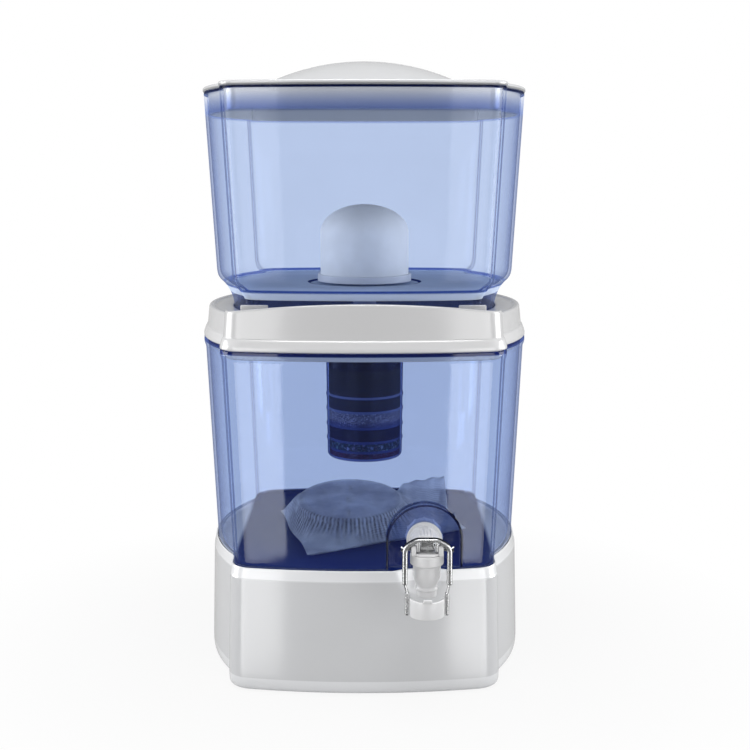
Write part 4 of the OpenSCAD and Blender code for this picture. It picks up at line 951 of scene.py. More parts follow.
def make_stand():
    """Stand: its skin with a boss for each rubber foot, and the four feet."""
    skin = stand_surface(sizes().edge_round)
    places = [(sx * 106.367, sy * 105.737) for sx in (-1, 1) for sy in (-1, 1)]
    boss = rounded([[0, 3.05], [10.15, 3.05], [10.15, 1.5], [13.9, 1.5], [13.9, 6], [0, 6]], 0.5)
    bosses = [moved(lathe(boss, 48), *place) for place in places]
    piece("stand_shell", joined(skin, *bosses), "stand_white", "stand", ["base_stand"], 35)
    foot = rounded([[0, 0], [9.2, 0], [10, 0.8], [10, 2.9], [0, 2.9]], 0.4)
    feet = [moved(lathe(foot, 40), *place) for place in places]
    piece("stand_feet_pads", joined(*feet), "foot_rubber", "stand", ["stand_feet"])


# ---------------------------------------------------------------- lower tank
LOW_OUT = [[0, 108], [137.3, 108], [141.7, 109], [143.7, 112], [144.3, 115.5], [152.3, 300],
           [153.6, 303], [153.9, 305], [153.6, 309]]
LOW_IN = [[151.4, 309], [150, 303], [149.7, 300], [141.7, 118], [140.9, 114.2], [139.1, 112],
          [134.3, 111], [0, 111]]


def solid_over(profile, outline):
    """Solid or shell over the outline whose first and last rows shrink to the middle."""
    p = np.array(profile, float)
    p[[0, -1], 0] = np.maximum(p[[0, -1], 0], 0.4)
    return tube_of(rings_of(p, outline))


def arch_cutter(flare):
    """Arch-topped prism that opens the recess behind the tap.

    Its outline is a half circle on two uprights. It grows from the flat back face through a
    small rounding, stays at the arch's size, and flares by a quarter circle where it meets the
    bowed front, so the recess has a rounded lip. The rings of the flare lie forward by a
    further 0.02 mm per radian of it.
    """
    arc_n, leg_n, lean = 49, 12, 0.02
    a = np.linspace(0, math.pi, arc_n)
    legs = np.linspace(ARCH_FOOT, BARREL_Z - 1.5, leg_n)
    x = np.concatenate([np.full(leg_n, 1.0), np.cos(a), np.full(leg_n, -1.0)])
    off = np.concatenate([np.zeros(leg_n), np.sin(a), np.zeros(leg_n)])
    base = np.concatenate([legs, np.full(arc_n, BARREL_Z), legs[::-1]])
    (low_z, low_half), (high_z, high_half) = LOW_WALL

    def front(r):
        half = low_half + (base + r * off - low_z) * ((high_half - low_half) / (high_z - low_z))
        return -half + bow_drop(TAP_X + r * x, half)

    turn, lip, outside = 1.2, front(ARCH_R), ARCH_R + flare
    rows = [(ARCH_R - turn * (1 - math.sin(t)), ARCH_Y - turn * (1 - math.cos(t)))
            for t in np.linspace(0, math.pi / 2, 5)]
    rows.append((ARCH_R, (ARCH_Y - turn + lip + flare) / 2))
    rows += [(ARCH_R + flare * (1 - math.cos(t)), lip + flare * (1 - math.sin(t)) - lean * t)
             for t in np.linspace(0, math.pi / 2, 6)]
    rows += [(outside, lip - 6), (outside, ARCH_END)]
    ring = [np.stack([TAP_X + r * x, y + 0 * x, base + r * off], -1) for r, y in rows]
    return tube_of(np.array(ring))


def make_lower_tank():
    """Lower tank: a shell over the outline, lined behind the arch, which is then cut out of
    both, and a hole for the tap's barrel."""
    s = sizes()
    outline = plan(24, 20)
    turns = [0, 2, 2, 2, 3, 3, 1, 1, 0.7, 0.7, 1, 3, 3, 2, 2, 2, 0]
    full = rounded(np.vstack([LOW_OUT, LOW_IN]), turns)
    shell = solid_over(densified(full, s.wall_step), outline)
    ob = piece("lower_tank_shell", shell, "blue_clear", "lower", ["lower_tank"], 35)
    lining = scratch(solid_over(densified(np.vstack([LOW_OUT, [[0, 309]]]), 12.0), outline))
    wall = 2.6
    r = ARCH_R + wall
    a = np.linspace(0, math.pi, 41)
    x = np.concatenate([[1.0], np.cos(a), [-1.0]])
    z = np.concatenate([[ARCH_FOOT], BARREL_Z + r * np.sin(a), [ARCH_FOOT]])
    prism = [np.stack([TAP_X + r * x, np.full(len(x), y), z], -1)
             for y in (ARCH_Y + wall, ARCH_END)]
    cut(lining, tube_of(np.array(prism)), "INTERSECT")
    part = points_of(lining), [list(face.vertices) for face in lining.data.polygons]
    bpy.data.objects.remove(lining)
    cut(ob, part, "UNION", 35)
    cut(ob, arch_cutter(s.arch_flare), "DIFFERENCE", 35)
    hole = laid_forward(lathe([[0, 110], [9.5, 110], [9.5, 160], [0, 160]], 64))
    cut(ob, moved(hole, TAP_X, 0, BARREL_Z), "DIFFERENCE", 35)


# ---------------------------------------------------------------- middle cover
def moulding(rows, step, outline, lift=0.0):
    """Closed skin over an outline. A row is [half width, height, lift weight, roundness, turn],
    the last being its corner's radius in units of the edge rounding."""
    rows = np.array(rows, float)
    profile = rounded(rows[:, :4], rows[:, 4] * sizes().edge_round, closed=True)
    return tube_of(rings_of(densified(profile, step, closed=True), outline, lift), closed=True)


def make_cover():
    """Closed skin from the round hole over the seat, skirt, rim and crest back to the hole.

    The crest's height over the outline is 1.2 at the sides and 13.7 - 8.1 (x / end)^2 at front
    and back, with a smooth ramp between.
    """
    rows = [
        [46, 328, 0, 1, 0.8], [62, 328, 0, 1, 2], [101.4, 328, 0, 0, 2], [126.4, 328, 0, 0, 1.5],
        [128.6, 334, 0, 0, 1.5], [141.6, 334, 0, 0, 3], [145.8, 302, 0, 0, 0.4],
        [146.3, 301, 0, 0, 0.4], [148.3, 301, 0, 0, 0.8], [148.8, 309.3, 0, 0, 0.5],
        [153, 309.3, 0, 0, 0.5], [154, 310.3, 0, 0, 0.9], [153.8, 312.9, 0, 0, 1.5],
        [151.6, 318.8, 0, 0, 1.4], [150.3, 319.8, 0, 0, 1.0], [148.4, 335.8, 1, 0, 0.8],
        [147.3, 337, 1, 0, 0.8], [144.9, 337, 1, 0, 0.8], [143.6, 338, 0, 0, 1.0],
        [142.6, 337, 0, 0, 1.0], [126.6, 337, 0, 0, 1.0], [125.4, 336, 0, 0, 0.8],
        [125.4, 331, 0, 0, 1.0], [101.4, 331, 0, 0, 2], [62, 331, 0, 1, 2], [46, 331, 0, 1, 0.8],
    ]
    outline = plan(36, 36)
    x, y = outline.T
    side = 1.2
    ends = 13.7 - 8.1 * (x / SIDE_END) ** 2
    crest = side + (ends - side) * smooth_step(np.abs(y), NOTCH_Y, -CORNER_Y)
    skin = moulding(rows, 9.0, outline, crest)
    tab = np.array([12, 1.3, 6])
    middles = [np.array([sx * 95, sy * 122.03, 341.5]) for sx in (-1, 1) for sy in (-1, 1)]
    tabs = [block(middle - tab, middle + tab, 0.9) for middle in middles]
    piece("middle_cover_moulding", joined(skin, *tabs), "cover_grey", "cover", ["middle_cover"], 35)


# ---------------------------------------------------------------- upper tank and lid
def make_upper_tank():
    """Closed skin of the upper tank, from its round hole under the floor, round the foot, up
    the wall and back over the floor."""
    rows = [
        [6.5, 351.9, 0, 1, 0.3], [24, 351.9, 0, 1, 0.6], [24, 353.9, 0, 1, 0.6],
        [60, 353.9, 0, 1, 1], [114.4, 353.9, 0, 0, 2], [122.6, 353.9, 0, 0, 2],
        [121.9, 344.3, 0, 0, 2], [121.4, 331.3, 0, 0, 0.8], [123.9, 331.3, 0, 0, 0.8],
        [124.4, 332.3, 0, 0, 0.8], [124.56, 338.3, 0, 0, 3], [126.16, 344.8, 0, 0, 4],
        [128.88, 352.3, 0, 0, 4], [133.68, 359.3, 0, 0, 4], [138.48, 363.7, 0, 0, 3],
        [140.4, 368.3, 0, 0, 4], [149.5, 531.3, 0, 0, 1], [149.5, 533.3, 0, 0, 0.8],
        [147.4, 533.3, 0, 0, 0.8], [146.9, 531.3, 0, 0, 1], [137.8, 369.3, 0, 0, 4],
        [135.7, 364.7, 0, 0, 3], [131.08, 361.3, 0, 0, 3], [126.4, 357.3, 0, 0, 3],
        [114.4, 357.3, 0, 0, 2], [60, 357.3, 0, 1, 1], [53, 357.3, 0, 1, 0.5],
        [53, 355.9, 0, 1, 0.5], [6.5, 355.9, 0, 1, 0.3],
    ]
    skin = moulding(rows, sizes().wall_step, plan(24, 24))
    piece("upper_tank_shell", skin, "blue_clear", "upper", ["upper_tank"], 35)


def make_lid():
    """Lid: a cap between two spheres, z = centre + sqrt(R^2 - r^2), on a sloping margin with
    a lip and a skirt."""
    r_out, thick, in_n, out_n = 216.09, 3.0, 22, 26

    def cap(radius, start, end, count):
        return [[r, TOP_Z - r_out + math.sqrt(radius ** 2 - r * r), 0, 1, 0]
                for r in np.linspace(start, end, count)]

    rows = np.array(cap(r_out - thick, 0.4, 94, in_n) + [
        [96.5, 534.8, 0, 1, 1], [118, 534.6, 0, 0, 3], [142.5, 534.1, 0, 0, 2],
        [142, 513.8, 0, 0, 0.6], [144.5, 513.8, 0, 0, 0.6], [145.0, 514.8, 0, 0, 0.6],
        [145.5, 533.6, 0, 0, 0.4], [149.4, 533.6, 0, 0, 0.5], [150.4, 534.5, 0, 0, 0.6],
        [150.4, 536.7, 0, 0, 0.8], [149.4, 537.6, 0, 0, 1.2], [135.4, 538.6, 0, 0, 6],
        [120.4, 539.5, 0, 0.35, 4], [101, 539.8, 0, 1, 3],
    ] + cap(r_out, 98, 0.4, out_n))
    rows, turns = rows[:, :4], rows[:, 4]
    middle = rounded(rows[in_n - 1:1 - out_n],
                     np.concatenate([[0], turns[in_n:-out_n], [0]]))
    profile = densified(np.vstack([rows[:in_n - 1], middle, rows[1 - out_n:]]), 9.0)
    part = tube_of(rings_of(profile, plan(36, 36)))
    piece("lid_moulding", part, "lid_white", "lid_body", ["lid"], 35)


# ---------------------------------------------------------------- dome filter and cartridge
def make_dome():
    """Dome: a straight wall and the upper half of an ellipse, r cos a by h sin a."""
    r_out, thick, foot_z, bend = 42.3, 9.0, 362.1, 404.1
    r_in = r_out - thick
    a = np.linspace(0, math.pi / 2, 20)
    wall = np.stack([r_out * np.cos(a), bend + 27 * np.sin(a)], -1)
    inside = np.stack([r_in * np.cos(a), bend + 18 * np.sin(a)], -1)
    foot = rounded([[r_in, bend - 0.1], [r_in, foot_z], [r_out, foot_z], [r_out, bend - 0.1]], 0.6)
    profile = np.vstack([inside[::-1], foot[1:-1], wall])
    profile[[0, -1], 0] = AXIS_R
    shell = lathe(densified(profile, 6), 144)
    piece("ceramic_dome_shell", shell, "ceramic", "upper", ["ceramic_dome"], 50)
    plate = rounded([[5, 358.1], [45, 358.1], [45, 365.1], [42.6, 365.1], [42.6, foot_z],
                     [5, foot_z]], [0.3, 0.8, 1.0, 0.6, 0.3, 0.3], closed=True)
    piece("dome_base_plate", lathe(plate, 144, True), "filter_white", "upper", ["dome_base"])


def make_cartridge():
    """Cartridge: a clear cup that widens upwards, with a rounded bead at each joint between
    two beds and six ports through its foot."""
    foot, top, neck, floor, bead = 186.1, 325.1, 316.7, 0.62, 0.75

    def wall(z):
        return 36.4 + 1.6 * (z - foot) / (top - foot)

    outer = [[AXIS_R, foot], [wall(foot) - 2.4, foot], [wall(foot), foot + 2.4]]
    turn = [0, 1.5, 1.5]
    for z in BED_JOINTS:
        outer += [[wall(z), z - 0.8], [wall(z) + bead, z + 0.5], [wall(z) + bead, z + 1.9],
                  [wall(z), z + 3.2]]
        turn += [0.6] * 4
    outer += [[wall(neck), neck], [37, neck], [37, top], [35.2, top], [35.2, neck - 1],
              [wall(foot) - 1.8, foot + floor], [AXIS_R, foot + floor]]
    turn += [0.4, 0.4, 0.4, 0.4, 0.6, 1.0, 0]
    part = lathe(densified(rounded(outer, turn, 3), 8), 160)
    ob = piece("cartridge_cup", part, "cartridge_clear", "cartridge", ["cartridge_body"])
    port = lathe([[0.01, foot - 2], [4, foot - 2], [4, foot + 2], [0.01, foot + 2]], 32)
    ports, ring_r = 6, 19
    a = np.arange(ports) * TAU / ports
    cut(ob, joined(*[moved(port, ring_r * math.cos(k), ring_r * math.sin(k)) for k in a]))
    finish_nodes("carbon", "carbon_bed")
    finish_nodes("fine_carbon", "fine_carbon_bed", "silver_carbon_bed")
    finish_nodes("zeolite", "zeolite_bed")
    finish_nodes("ceramic_balls", "ceramic_ball_bed")
    finish_nodes("mineral_sand", "mineral_sand_bed")
    finish_nodes("felt", "felt_pads")
    finish_nodes("filter_white", "cartridge_cap", "outlet_grid", "dome_stem", "wing_nut")
    finish_nodes("silicone", "cartridge_seal", "dome_gasket", "stem_washer")


# ---------------------------------------------------------------- mineral case and bag
def leaned(part):
    """A part leaned back about the front edge of the mineral case."""
    p = part[0] + np.array([0.0, CASE_R, 0.0])
    c, s = math.cos(CASE_LEAN), math.sin(CASE_LEAN)
    x, y, z = p.T
    p = np.stack([x, y * c - z * s, y * s + z * c], -1)
    return p + np.array([CASE_MID[0], CASE_MID[1] - CASE_R, CASE_Z]), part[1]


def make_case():
    """Case: a cup whose outer wall stands out in rounded ribs, r = r0 + h max(0, cos n a)^0.6."""
    ribs = sizes().case_ribs
    n = ribs * 8
    a = np.arange(n) * TAU / n
    rib = np.maximum(0.0, np.cos(ribs * a)) ** 0.6
    rows = np.array([[0.1, 0, 0], [47.5, 0, 0], [49, 1.2, 0], [49, 1.8, 1], [49, 15.2, 1],
                     [49, 16, 0], [47.2, 16, 0], [47.2, 1.8, 0], [0.1, 1.8, 0]], float)
    rows = densified(rounded(rows, 0.5, 3), 6)
    r = rows[:, 0, None] + rows[:, 2, None] * rib
    rings = np.stack([r * np.cos(a), r * np.sin(a), rows[:, 1, None] + 0 * a], -1)
    piece("mineral_case_cup", leaned(tube_of(rings)), "case_blue", "lower", ["mineral_case_body"])
    finish_nodes("case_blue", "mineral_case_lid")
    finish_nodes("stones", "mineral_stones")


BAG_CORNERS = np.array([[-52.0, -98.0], [100.0, -12.0], [-88.0, 52.0], [65.0, 115.0]])
BAG_FLOOR = 112.7
BAG_ROWS, BAG_COLS = 120, 130
FLAP_FROM, FLAP_TO, FLAP_TOP = np.array([32.0, 40.0]), np.array([82.0, 62.0]), 148.5
CASE_EDGE = 51.8        # the bag leaves the case's top this far from its middle
SEAM_SLOPE = 12.0       # the bag comes down to its seams over this many millimetres


def bag_grid():
    """Flat points of the bag's cut, (u, v) in millimetres from its middle."""
    s = sizes()
    u = np.linspace(-s.bag_length / 2, s.bag_length / 2, BAG_COLS)
    v = np.linspace(-s.bag_width / 2, s.bag_width / 2, BAG_ROWS)
    return np.meshgrid(u, v)


def between_corners(p, q, near, right, left, far):
    """Blend of four corners: p runs from near to right, and q from near to left."""
    return (1 - p) * (1 - q) * near + p * (1 - q) * right + (1 - p) * q * left + p * q * far


def on_floor(p, q):
    """Where a point of the bag lies over the floor: p and q run from 0 to 1 between its four
    corners, and its seams are a little wavy, by sines that are nil at the corners."""
    p, q = p[..., None], q[..., None]
    at = between_corners(p, q, *BAG_CORNERS)
    wave = 2.6 * np.sin(p * math.pi) * (2 * q - 1) * np.sin(p * 9 + 1)
    wave = wave - 3.0 * np.sin(q * math.pi) * (2 * p - 1) * np.sin(q * 8 + 0.4)
    at = at + wave * np.array([0.5, 0.85])
    return at[..., 0], at[..., 1]


def flap_share(x, y):
    """How far a point is along the flap's ridge, 0 to 1, and its distance from it."""
    way = FLAP_TO - FLAP_FROM
    length = np.hypot(*way)
    way = way / length
    dx, dy = x - FLAP_FROM[0], y - FLAP_FROM[1]
    return (dx * way[0] + dy * way[1]) / length, dy * way[0] - dx * way[1]


def drape_height(x, y, rim):
    """Height of the bag's upper sheet over the case.

    It is the case's top inside its rim, then a slope of about 0.72 that ends softly on the
    floor, with folds h sin(n a) round the case, brought down to the floor near the seams. The
    standing flap is a ridge whose height falls off by exp(-(distance / width)^2)."""
    dx, dy = x - CASE_MID[0], y - CASE_MID[1]
    d, a = np.hypot(dx, dy), np.arctan2(dy, dx)
    k = np.minimum(1.0, CASE_EDGE / np.maximum(d, 1e-6))
    top = CASE_Z + 21.9 + (dy * k + CASE_R) * math.sin(CASE_LEAN)
    out = smooth_step(d, 53, 80)
    fold = (2.2 * np.sin(7 * a + 0.4) + 1.1 * np.sin(11 * a) + 0.6 * np.sin(17 * a + 1)) * out
    steep = 0.72 + 0.16 * np.sin(a * 2 - 0.6)
    h = top - np.maximum(0.0, d - CASE_EDGE) * steep + fold
    h = later_of(h, np.full_like(h, BAG_FLOOR + 0.4), 6.0)
    up = np.maximum(smooth_step(rim, 0.0, SEAM_SLOPE), smooth_step(-d, -54, -51))
    h = BAG_FLOOR + (h - BAG_FLOOR) * up
    along, off = flap_share(x, y)
    back = 1 - np.clip(along, 0, 1)
    ridge = FLAP_TOP - BAG_FLOOR - 3 * back
    near = np.exp(-(off / (10.5 + 4 * back)) ** 2)
    rise = BAG_FLOOR + ridge * near * smooth_step(along, -0.25, 0.2)
    rise = rise + 0.8 * np.sin(along * 19) * near
    return later_of(h, rise, 7.0)


def sheet_of(name, xyz, u, v):
    """A cloth sheet on a grid, with the cut's flat coordinates as its map."""
    part = (xyz.reshape(-1, 3), open_faces(*u.shape).tolist())
    ob = piece(name, part, "bag_mesh", "lower", sharp=180.0)
    layer = ob.data.uv_layers.new(name="cut")
    index = np.empty(len(ob.data.loops), np.int32)
    ob.data.loops.foreach_get("vertex_index", index)
    flat = np.stack([u.ravel(), v.ravel()], -1)[index]
    layer.data.foreach_set("uv", flat.ravel())
    return ob


def let_settle(ob, held):
    """Cloth simulation: the sheet settles on the case and the tank's floor under its weight.

    Points whose share in held is above zero are kept by that much, and the result is kept as
    the mesh."""
    frames = 16
    drum = rounded([[0.1, -0.4], [50.4, -0.4], [50.4, 20.6], [0.1, 20.6]], 1.6)
    case = scratch(leaned(lathe(drum, 72)))
    base = scratch(block([-150, -150, 90], [150, 150, BAG_FLOOR - 0.9], 0.5, 2))
    for solid in (case, base):
        solid.modifiers.new("hit", "COLLISION")
        solid.collision.thickness_outer = 0.0005
        solid.collision.cloth_friction = 12
    group = ob.vertex_groups.new(name="held")
    for level in (0.25, 0.5, 0.75, 1.0):
        chosen = np.nonzero((held > level - 0.25) & (held <= level))[0]
        group.add(chosen.tolist(), level, "REPLACE")
    cloth = ob.modifiers.new("cloth", "CLOTH")
    c = cloth.settings
    c.quality, c.mass, c.air_damping = 7, 0.10, 3.0
    c.tension_stiffness = c.compression_stiffness = 20
    c.shear_stiffness, c.bending_stiffness = 10, 1.2
    c.vertex_group_mass, c.pin_stiffness = "held", 1.0
    cloth.collision_settings.distance_min = 0.0006
    cloth.collision_settings.collision_quality = 3
    cloth.collision_settings.use_self_collision = False
    scene = bpy.context.scene
    cloth.point_cache.frame_start, cloth.point_cache.frame_end = 1, frames
    for k in range(1, frames + 1):
        scene.frame_set(k)
    baked(ob, 180.0)
    scene.frame_set(1)
    for solid in (case, base):
        bpy.data.objects.remove(solid)


def make_bag():
    """Mesh bag: an upper sheet over the case and a lower one on the tank's floor.

    The lower sheet is a Coons patch: the blend of its four edges, lowered to the floor. It
    meets the upper one along its seams, but for the mouth under the standing flap."""
    s = sizes()
    u, v = bag_grid()
    x, y = on_floor(u / s.bag_length + 0.5, v / s.bag_width + 0.5)
    rim = np.minimum(u.max() - np.abs(u), v.max() - np.abs(v))
    z = drape_height(x, y, rim)
    top = sheet_of("bag_top_sheet", np.stack([x, y, z], -1), u, v)
    along, off = flap_share(x, y)
    held = np.where(rim < 0.1, 1.0, 0.0)
    held = np.maximum(held, np.where((np.abs(off) < 2.5) & (along > 0), 1.0, 0.0))
    let_settle(top, held.ravel())
    pts = points_of(top).reshape(BAG_ROWS, BAG_COLS, 3)
    p = np.linspace(0, 1, BAG_COLS)[None, :, None]
    q = np.linspace(0, 1, BAG_ROWS)[:, None, None]
    sides = (1 - q) * pts[:1] + q * pts[-1:] + (1 - p) * pts[:, :1] + p * pts[:, -1:]
    foot = sides - between_corners(p, q, pts[0, 0], pts[0, -1], pts[-1, 0], pts[-1, -1])
    rim = np.minimum(np.minimum(p, 1 - p), np.minimum(q, 1 - q))[..., 0]
    low = 111.75 + 0.2 * np.sin(foot[..., 0] / 9) * np.sin(foot[..., 1] / 11)
    seam = np.minimum(foot[..., 2], BAG_FLOOR + 1.2)
    foot[..., 2] = seam + (low - seam) * smooth_step(rim, 0, 0.03)
    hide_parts("mineral_bag")
    bottom = sheet_of("bag_bottom_sheet", foot[:, ::-1], u[:, ::-1], v[:, ::-1])


# ---------------------------------------------------------------- tap
def make_tap():
    """Tap: turned shapes for the upright and the barrel, and five ribs on the barrel, melted
    into one moulding that is then bored from below and from behind."""
    upright = rounded(
        [[AXIS_R, 107], [8.5, 107], [8.5, 112.6], [9.5, 113.2], [9.5, 115.2], [8.5, 116],
         [11.8, 124], [11.8, 134.6], [14.2, 135.6], [14.2, 144.4], [AXIS_R, 144.4]],
        [0, 0.8, 0.6, 0.6, 0.6, 0.5, 3, 0.8, 0.9, 0.8, 0])
    barrel_r = 13
    barrel = rounded(
        [[AXIS_R, 118.5], [9, 118.5], [9, 133.0], [16, 133.0], [16, 136.2], [barrel_r, 136.6],
         [barrel_r, 170.4], [9.6, 173.9], [9.6, 186], [AXIS_R, 186]],
        [0, 0.4, 0.2, 0.8, 0.8, 0.4, 2.5, 0.8, 1, 0])
    ribs = [block([TAP_X + x - 0.62, -165.0, BARREL_Z + 4],
                  [TAP_X + x + 0.62, -147.0, BARREL_Z + math.sqrt(barrel_r ** 2 - x * x) + 0.75],
                  0.5) for x in (2.6 * i for i in range(-2, 3))]
    parts = joined(at_tap(lathe(upright, 128)),
                   moved(laid_forward(lathe(barrel, 96)), TAP_X, 0, BARREL_Z), *ribs)
    ob = piece("tap_moulding", parts, "tap_white", "lower", ["tap_body"])
    blended(ob, sizes().tap_voxel, 0.6, 4)
    bore = [[AXIS_R, 105], [6, 105], [6, 121], [8.4, 121], [8.4, 139.5], [10.4, 139.5],
            [10.4, 147], [AXIS_R, 147]]
    cut(ob, at_tap(lathe(bore, 96)), "DIFFERENCE", 45)
    port = laid_forward(lathe([[AXIS_R, 115], [3.8, 115], [3.8, 182], [AXIS_R, 182]], 40))
    cut(ob, moved(port, TAP_X, 0, 135.5), "DIFFERENCE", 45)
    finish_nodes("silicone", "tap_outer_washer", "tap_inner_washer", "valve_plug")
    finish_nodes("filter_white", "tap_lock_nut")
    finish_nodes("dark_rubber", "bonnet_seal")


def make_bonnet():
    """Bonnet: a turned plug and flange with two round-topped ears."""
    plug = rounded([[2.48, 139.6], [8.9, 139.6], [8.9, 143.2], [10.3, 143.2], [10.3, 144.6],
                    [13.8, 144.6], [13.8, 146.5], [2.48, 146.5]], 0.35, closed=True)
    parts = [at_tap(lathe(plug, 112, True))]
    r, leg, pivot_z = 3.6, 5.2, 150
    a = np.linspace(0, math.pi, 25)
    y = np.concatenate([[r], r * np.cos(a), [-r]])
    z = np.concatenate([[-leg], r * np.sin(a), [-leg]])
    rows = [(0.0, 0.5), (0.15, 0.15), (0.5, 0.0), (3.5, 0.0), (3.85, 0.15), (4.0, 0.5)]
    for x0 in (TAP_X - 13.4, TAP_X + 9.4):
        rings = [np.stack([x0 + t + 0 * y, PIVOT_Y + y * (1 - inset / r),
                           pivot_z + z * (1 - inset / leg)], -1) for t, inset in rows]
        parts.append(tube_of(np.array(rings)))
        parts.append(block([x0, PIVOT_Y - 1, 144.9], [x0 + 4, PIVOT_Y + 7, 146.5], 0.3, 3))
    piece("tap_bonnet_moulding", joined(*parts), "tap_white", "lower", ["tap_bonnet"])


def make_stem():
    """Valve stem: turned rod and disc under a chromed block with rounded edges."""
    rod = rounded([[AXIS_R, 124], [5.8, 124], [5.8, 125.6], [2.4, 125.6], [2.4, 148],
                   [AXIS_R, 148]], 0.3)
    head = block([-6, -3.5, 147.1], [6, 3.5, 155.5], 1.1, 6)
    part = at_tap(joined(lathe(rod, 64), head))
    piece("valve_stem_bar", part, "chrome", "stem", ["valve_stem"])
    finish_nodes("steel", "lift_pin", "lever_pins")


def make_spring():
    """Valve spring: a wire on a helix, (r cos a, r sin a, foot + rise a). Its foot is 2 mm over
    the stem's disc, which leaves room for the stem to rise."""
    turns, coil, wire, foot, head = 6, 4.0, 0.55, 128.45, 138.776
    a = np.linspace(0, TAU * turns, 48 * turns + 1)[:, None]
    b = np.linspace(0, TAU, 13)[None, :-1]
    r = coil + wire * np.cos(b)
    z = foot + (head - foot) * a / (TAU * turns) + wire * np.sin(b)
    rings = np.stack([TAP_X + r * np.cos(a), TAP_Y + r * np.sin(a), z], -1)
    piece("valve_spring_coil", tube_of(rings), "steel", "lower", ["valve_spring"])


def make_lever():
    """Lever: one bar bent up the left arm, over the gable and down the right arm, with cheeks
    and a fork that reaches back under the cross pin."""
    right = np.array([
        [16.9, 92.2, 1.1, 1.4], [16.9, 92.8, 1.7, 2.0], [16.9, 111.6, 1.7, 2.0],
        [16.95, 112.2, 1.05, 1.25], [18.75, 119.0, 1.05, 1.25], [18.8, 119.5, 2.2, 3.4],
        [18.8, 151.5, 2.15, 3.5], [9.0, 157.7, 1.6, 3.5],
    ])
    turn = [0, 0.2, 0.3, 0.3, 0.3, 0.3, 4.5, 3.0]
    path = rounded(np.vstack([right * [-1, 1, 1, 1], right[::-1]]), turn + turn[::-1], 6)
    path = densified(path, 2.5)
    path[:, 0] += TAP_X
    parts = [moved(bar(path, 1.15), y=PIVOT_Y)]
    for x0 in (TAP_X - 9.0, TAP_X + 6.5):
        parts.append(block([x0, PIVOT_Y - 3.5, 148], [x0 + 2.5, PIVOT_Y + 3.5, 157.4], 0.7))
        parts.append(block([x0, PIVOT_Y - 2, 148], [x0 + 2.5, PIVOT_Y + 10, 150.2], 0.7))
    piece("lever_bar", joined(*parts), "chrome", "lever", ["tap_lever"])


def make_push_plate():
    """Push plate: a band bent round the spout's front, with a rounded rectangular section that
    closes at its ends, and a small tab on its upper edge."""
    radius, count = 14.2, 49
    tilt = math.asin(1.6 / radius)
    a = np.linspace(math.pi - tilt, 2 * math.pi + tilt, count)
    from_end = np.minimum(np.arange(count), np.arange(count)[::-1])
    close = np.sqrt(np.clip(from_end / 1.5, 0.08, 1))
    sx, sy, c, s = quarter_arcs(6)
    t, h, r = 0.9, 7.75, 0.75
    u = sx * (t - r) + r * c
    v = sy * (h - r) + r * s
    u, v = u[None] * close[:, None], v[None] * (0.9 + 0.1 * close[:, None])
    rho = radius + u
    rings = np.stack([
        TAP_X + rho * np.cos(a)[:, None], PIVOT_Y + rho * np.sin(a)[:, None], 99.95 + v], -1)
    tab = block([TAP_X - 3.7, PIVOT_Y - 14.85, 106.5], [TAP_X + 3.7, PIVOT_Y - 13.55, 110.2], 0.62)
    piece("push_plate", joined(tube_of(rings), tab), "tap_white", "lever", ["push_pad"])


# ---------------------------------------------------------------- floor, light and camera
MIRROR_FRONT, MIRROR_BACK, ROOM_LIGHT = 0.09, 0.5, 0.26
WHITE, AIM_HEIGHT, PITCH = (1.0, 1.0, 1.0), 0.28, 9.44


def make_worktop():
    """Worktop: it glows towards its far parts for the camera, and lets mirrored rays through
    to the world."""
    s = new_finish("worktop")
    grey = s.mix(s.noise(3.0, 3.0), (0.46,) * 3, (0.50,) * 3)
    axes = s.axes()
    mirrored, *seen = s.rays("Glossy", "Camera", "Transmission")
    far = s.spread(s.square_sum(axes["X"], axes["Y"]), 0.028, 0.20, 0.90, 1.0)
    lit = s.between(s.times(s.maths("MAXIMUM", *seen), far), s.shader("BsdfDiffuse", Color=grey),
                    s.shader("Emission", Color=WHITE, Strength=1.0))
    surface = s.done(s.between(mirrored, lit, s.shader("BsdfTransparent", Color=WHITE)))
    r = 4000.0
    corners = np.array([[-r, -r, 0], [r, -r, 0], [r, r, 0], [-r, r, 0]])
    put("worktop", (corners, [[0, 1, 2, 3]]), surface, None)


def make_world():
    """Studio world: white behind the filter and dim in front of it where it is mirrored, white
    where it is seen, and faint as light on the pieces."""
    world = bpy.data.worlds.new("studio")
    bpy.context.scene.world = world
    w = Shader(world, "ShaderNodeOutputWorld")
    mirrored, diffuse, *seen = w.rays("Glossy", "Diffuse", "Camera", "Transmission")
    room = w.spread(w.axes()["Y"], -0.1, 0.7, MIRROR_FRONT, MIRROR_BACK)
    level = w.maths("MAXIMUM", w.maths("MAXIMUM", *seen), w.times(mirrored, room))
    level = w.maths("MAXIMUM", level, w.times(diffuse, ROOM_LIGHT))
    w.done(w.shader("Background", Color=WHITE, Strength=level))


def make_softbox(name, azimuth, distance, height, size, watts):
    """Area light that looks at the filter from an azimuth in degrees, 0 being the front."""
    light = bpy.data.lights.new(name, "AREA")
    light.shape, light.size, light.size_y = "RECTANGLE", *size
    light.energy = watts
    ob = bpy.data.objects.new(name, light)
    a = math.radians(azimuth)
    at = Vector((distance * math.sin(a), -distance * math.cos(a), height))
    aim = Vector((0, 0, min(height, AIM_HEIGHT)))
    ob.location = at
    ob.rotation_euler = (aim - at).to_track_quat("-Z", "Y").to_euler()
    bpy.context.scene.collection.objects.link(ob)


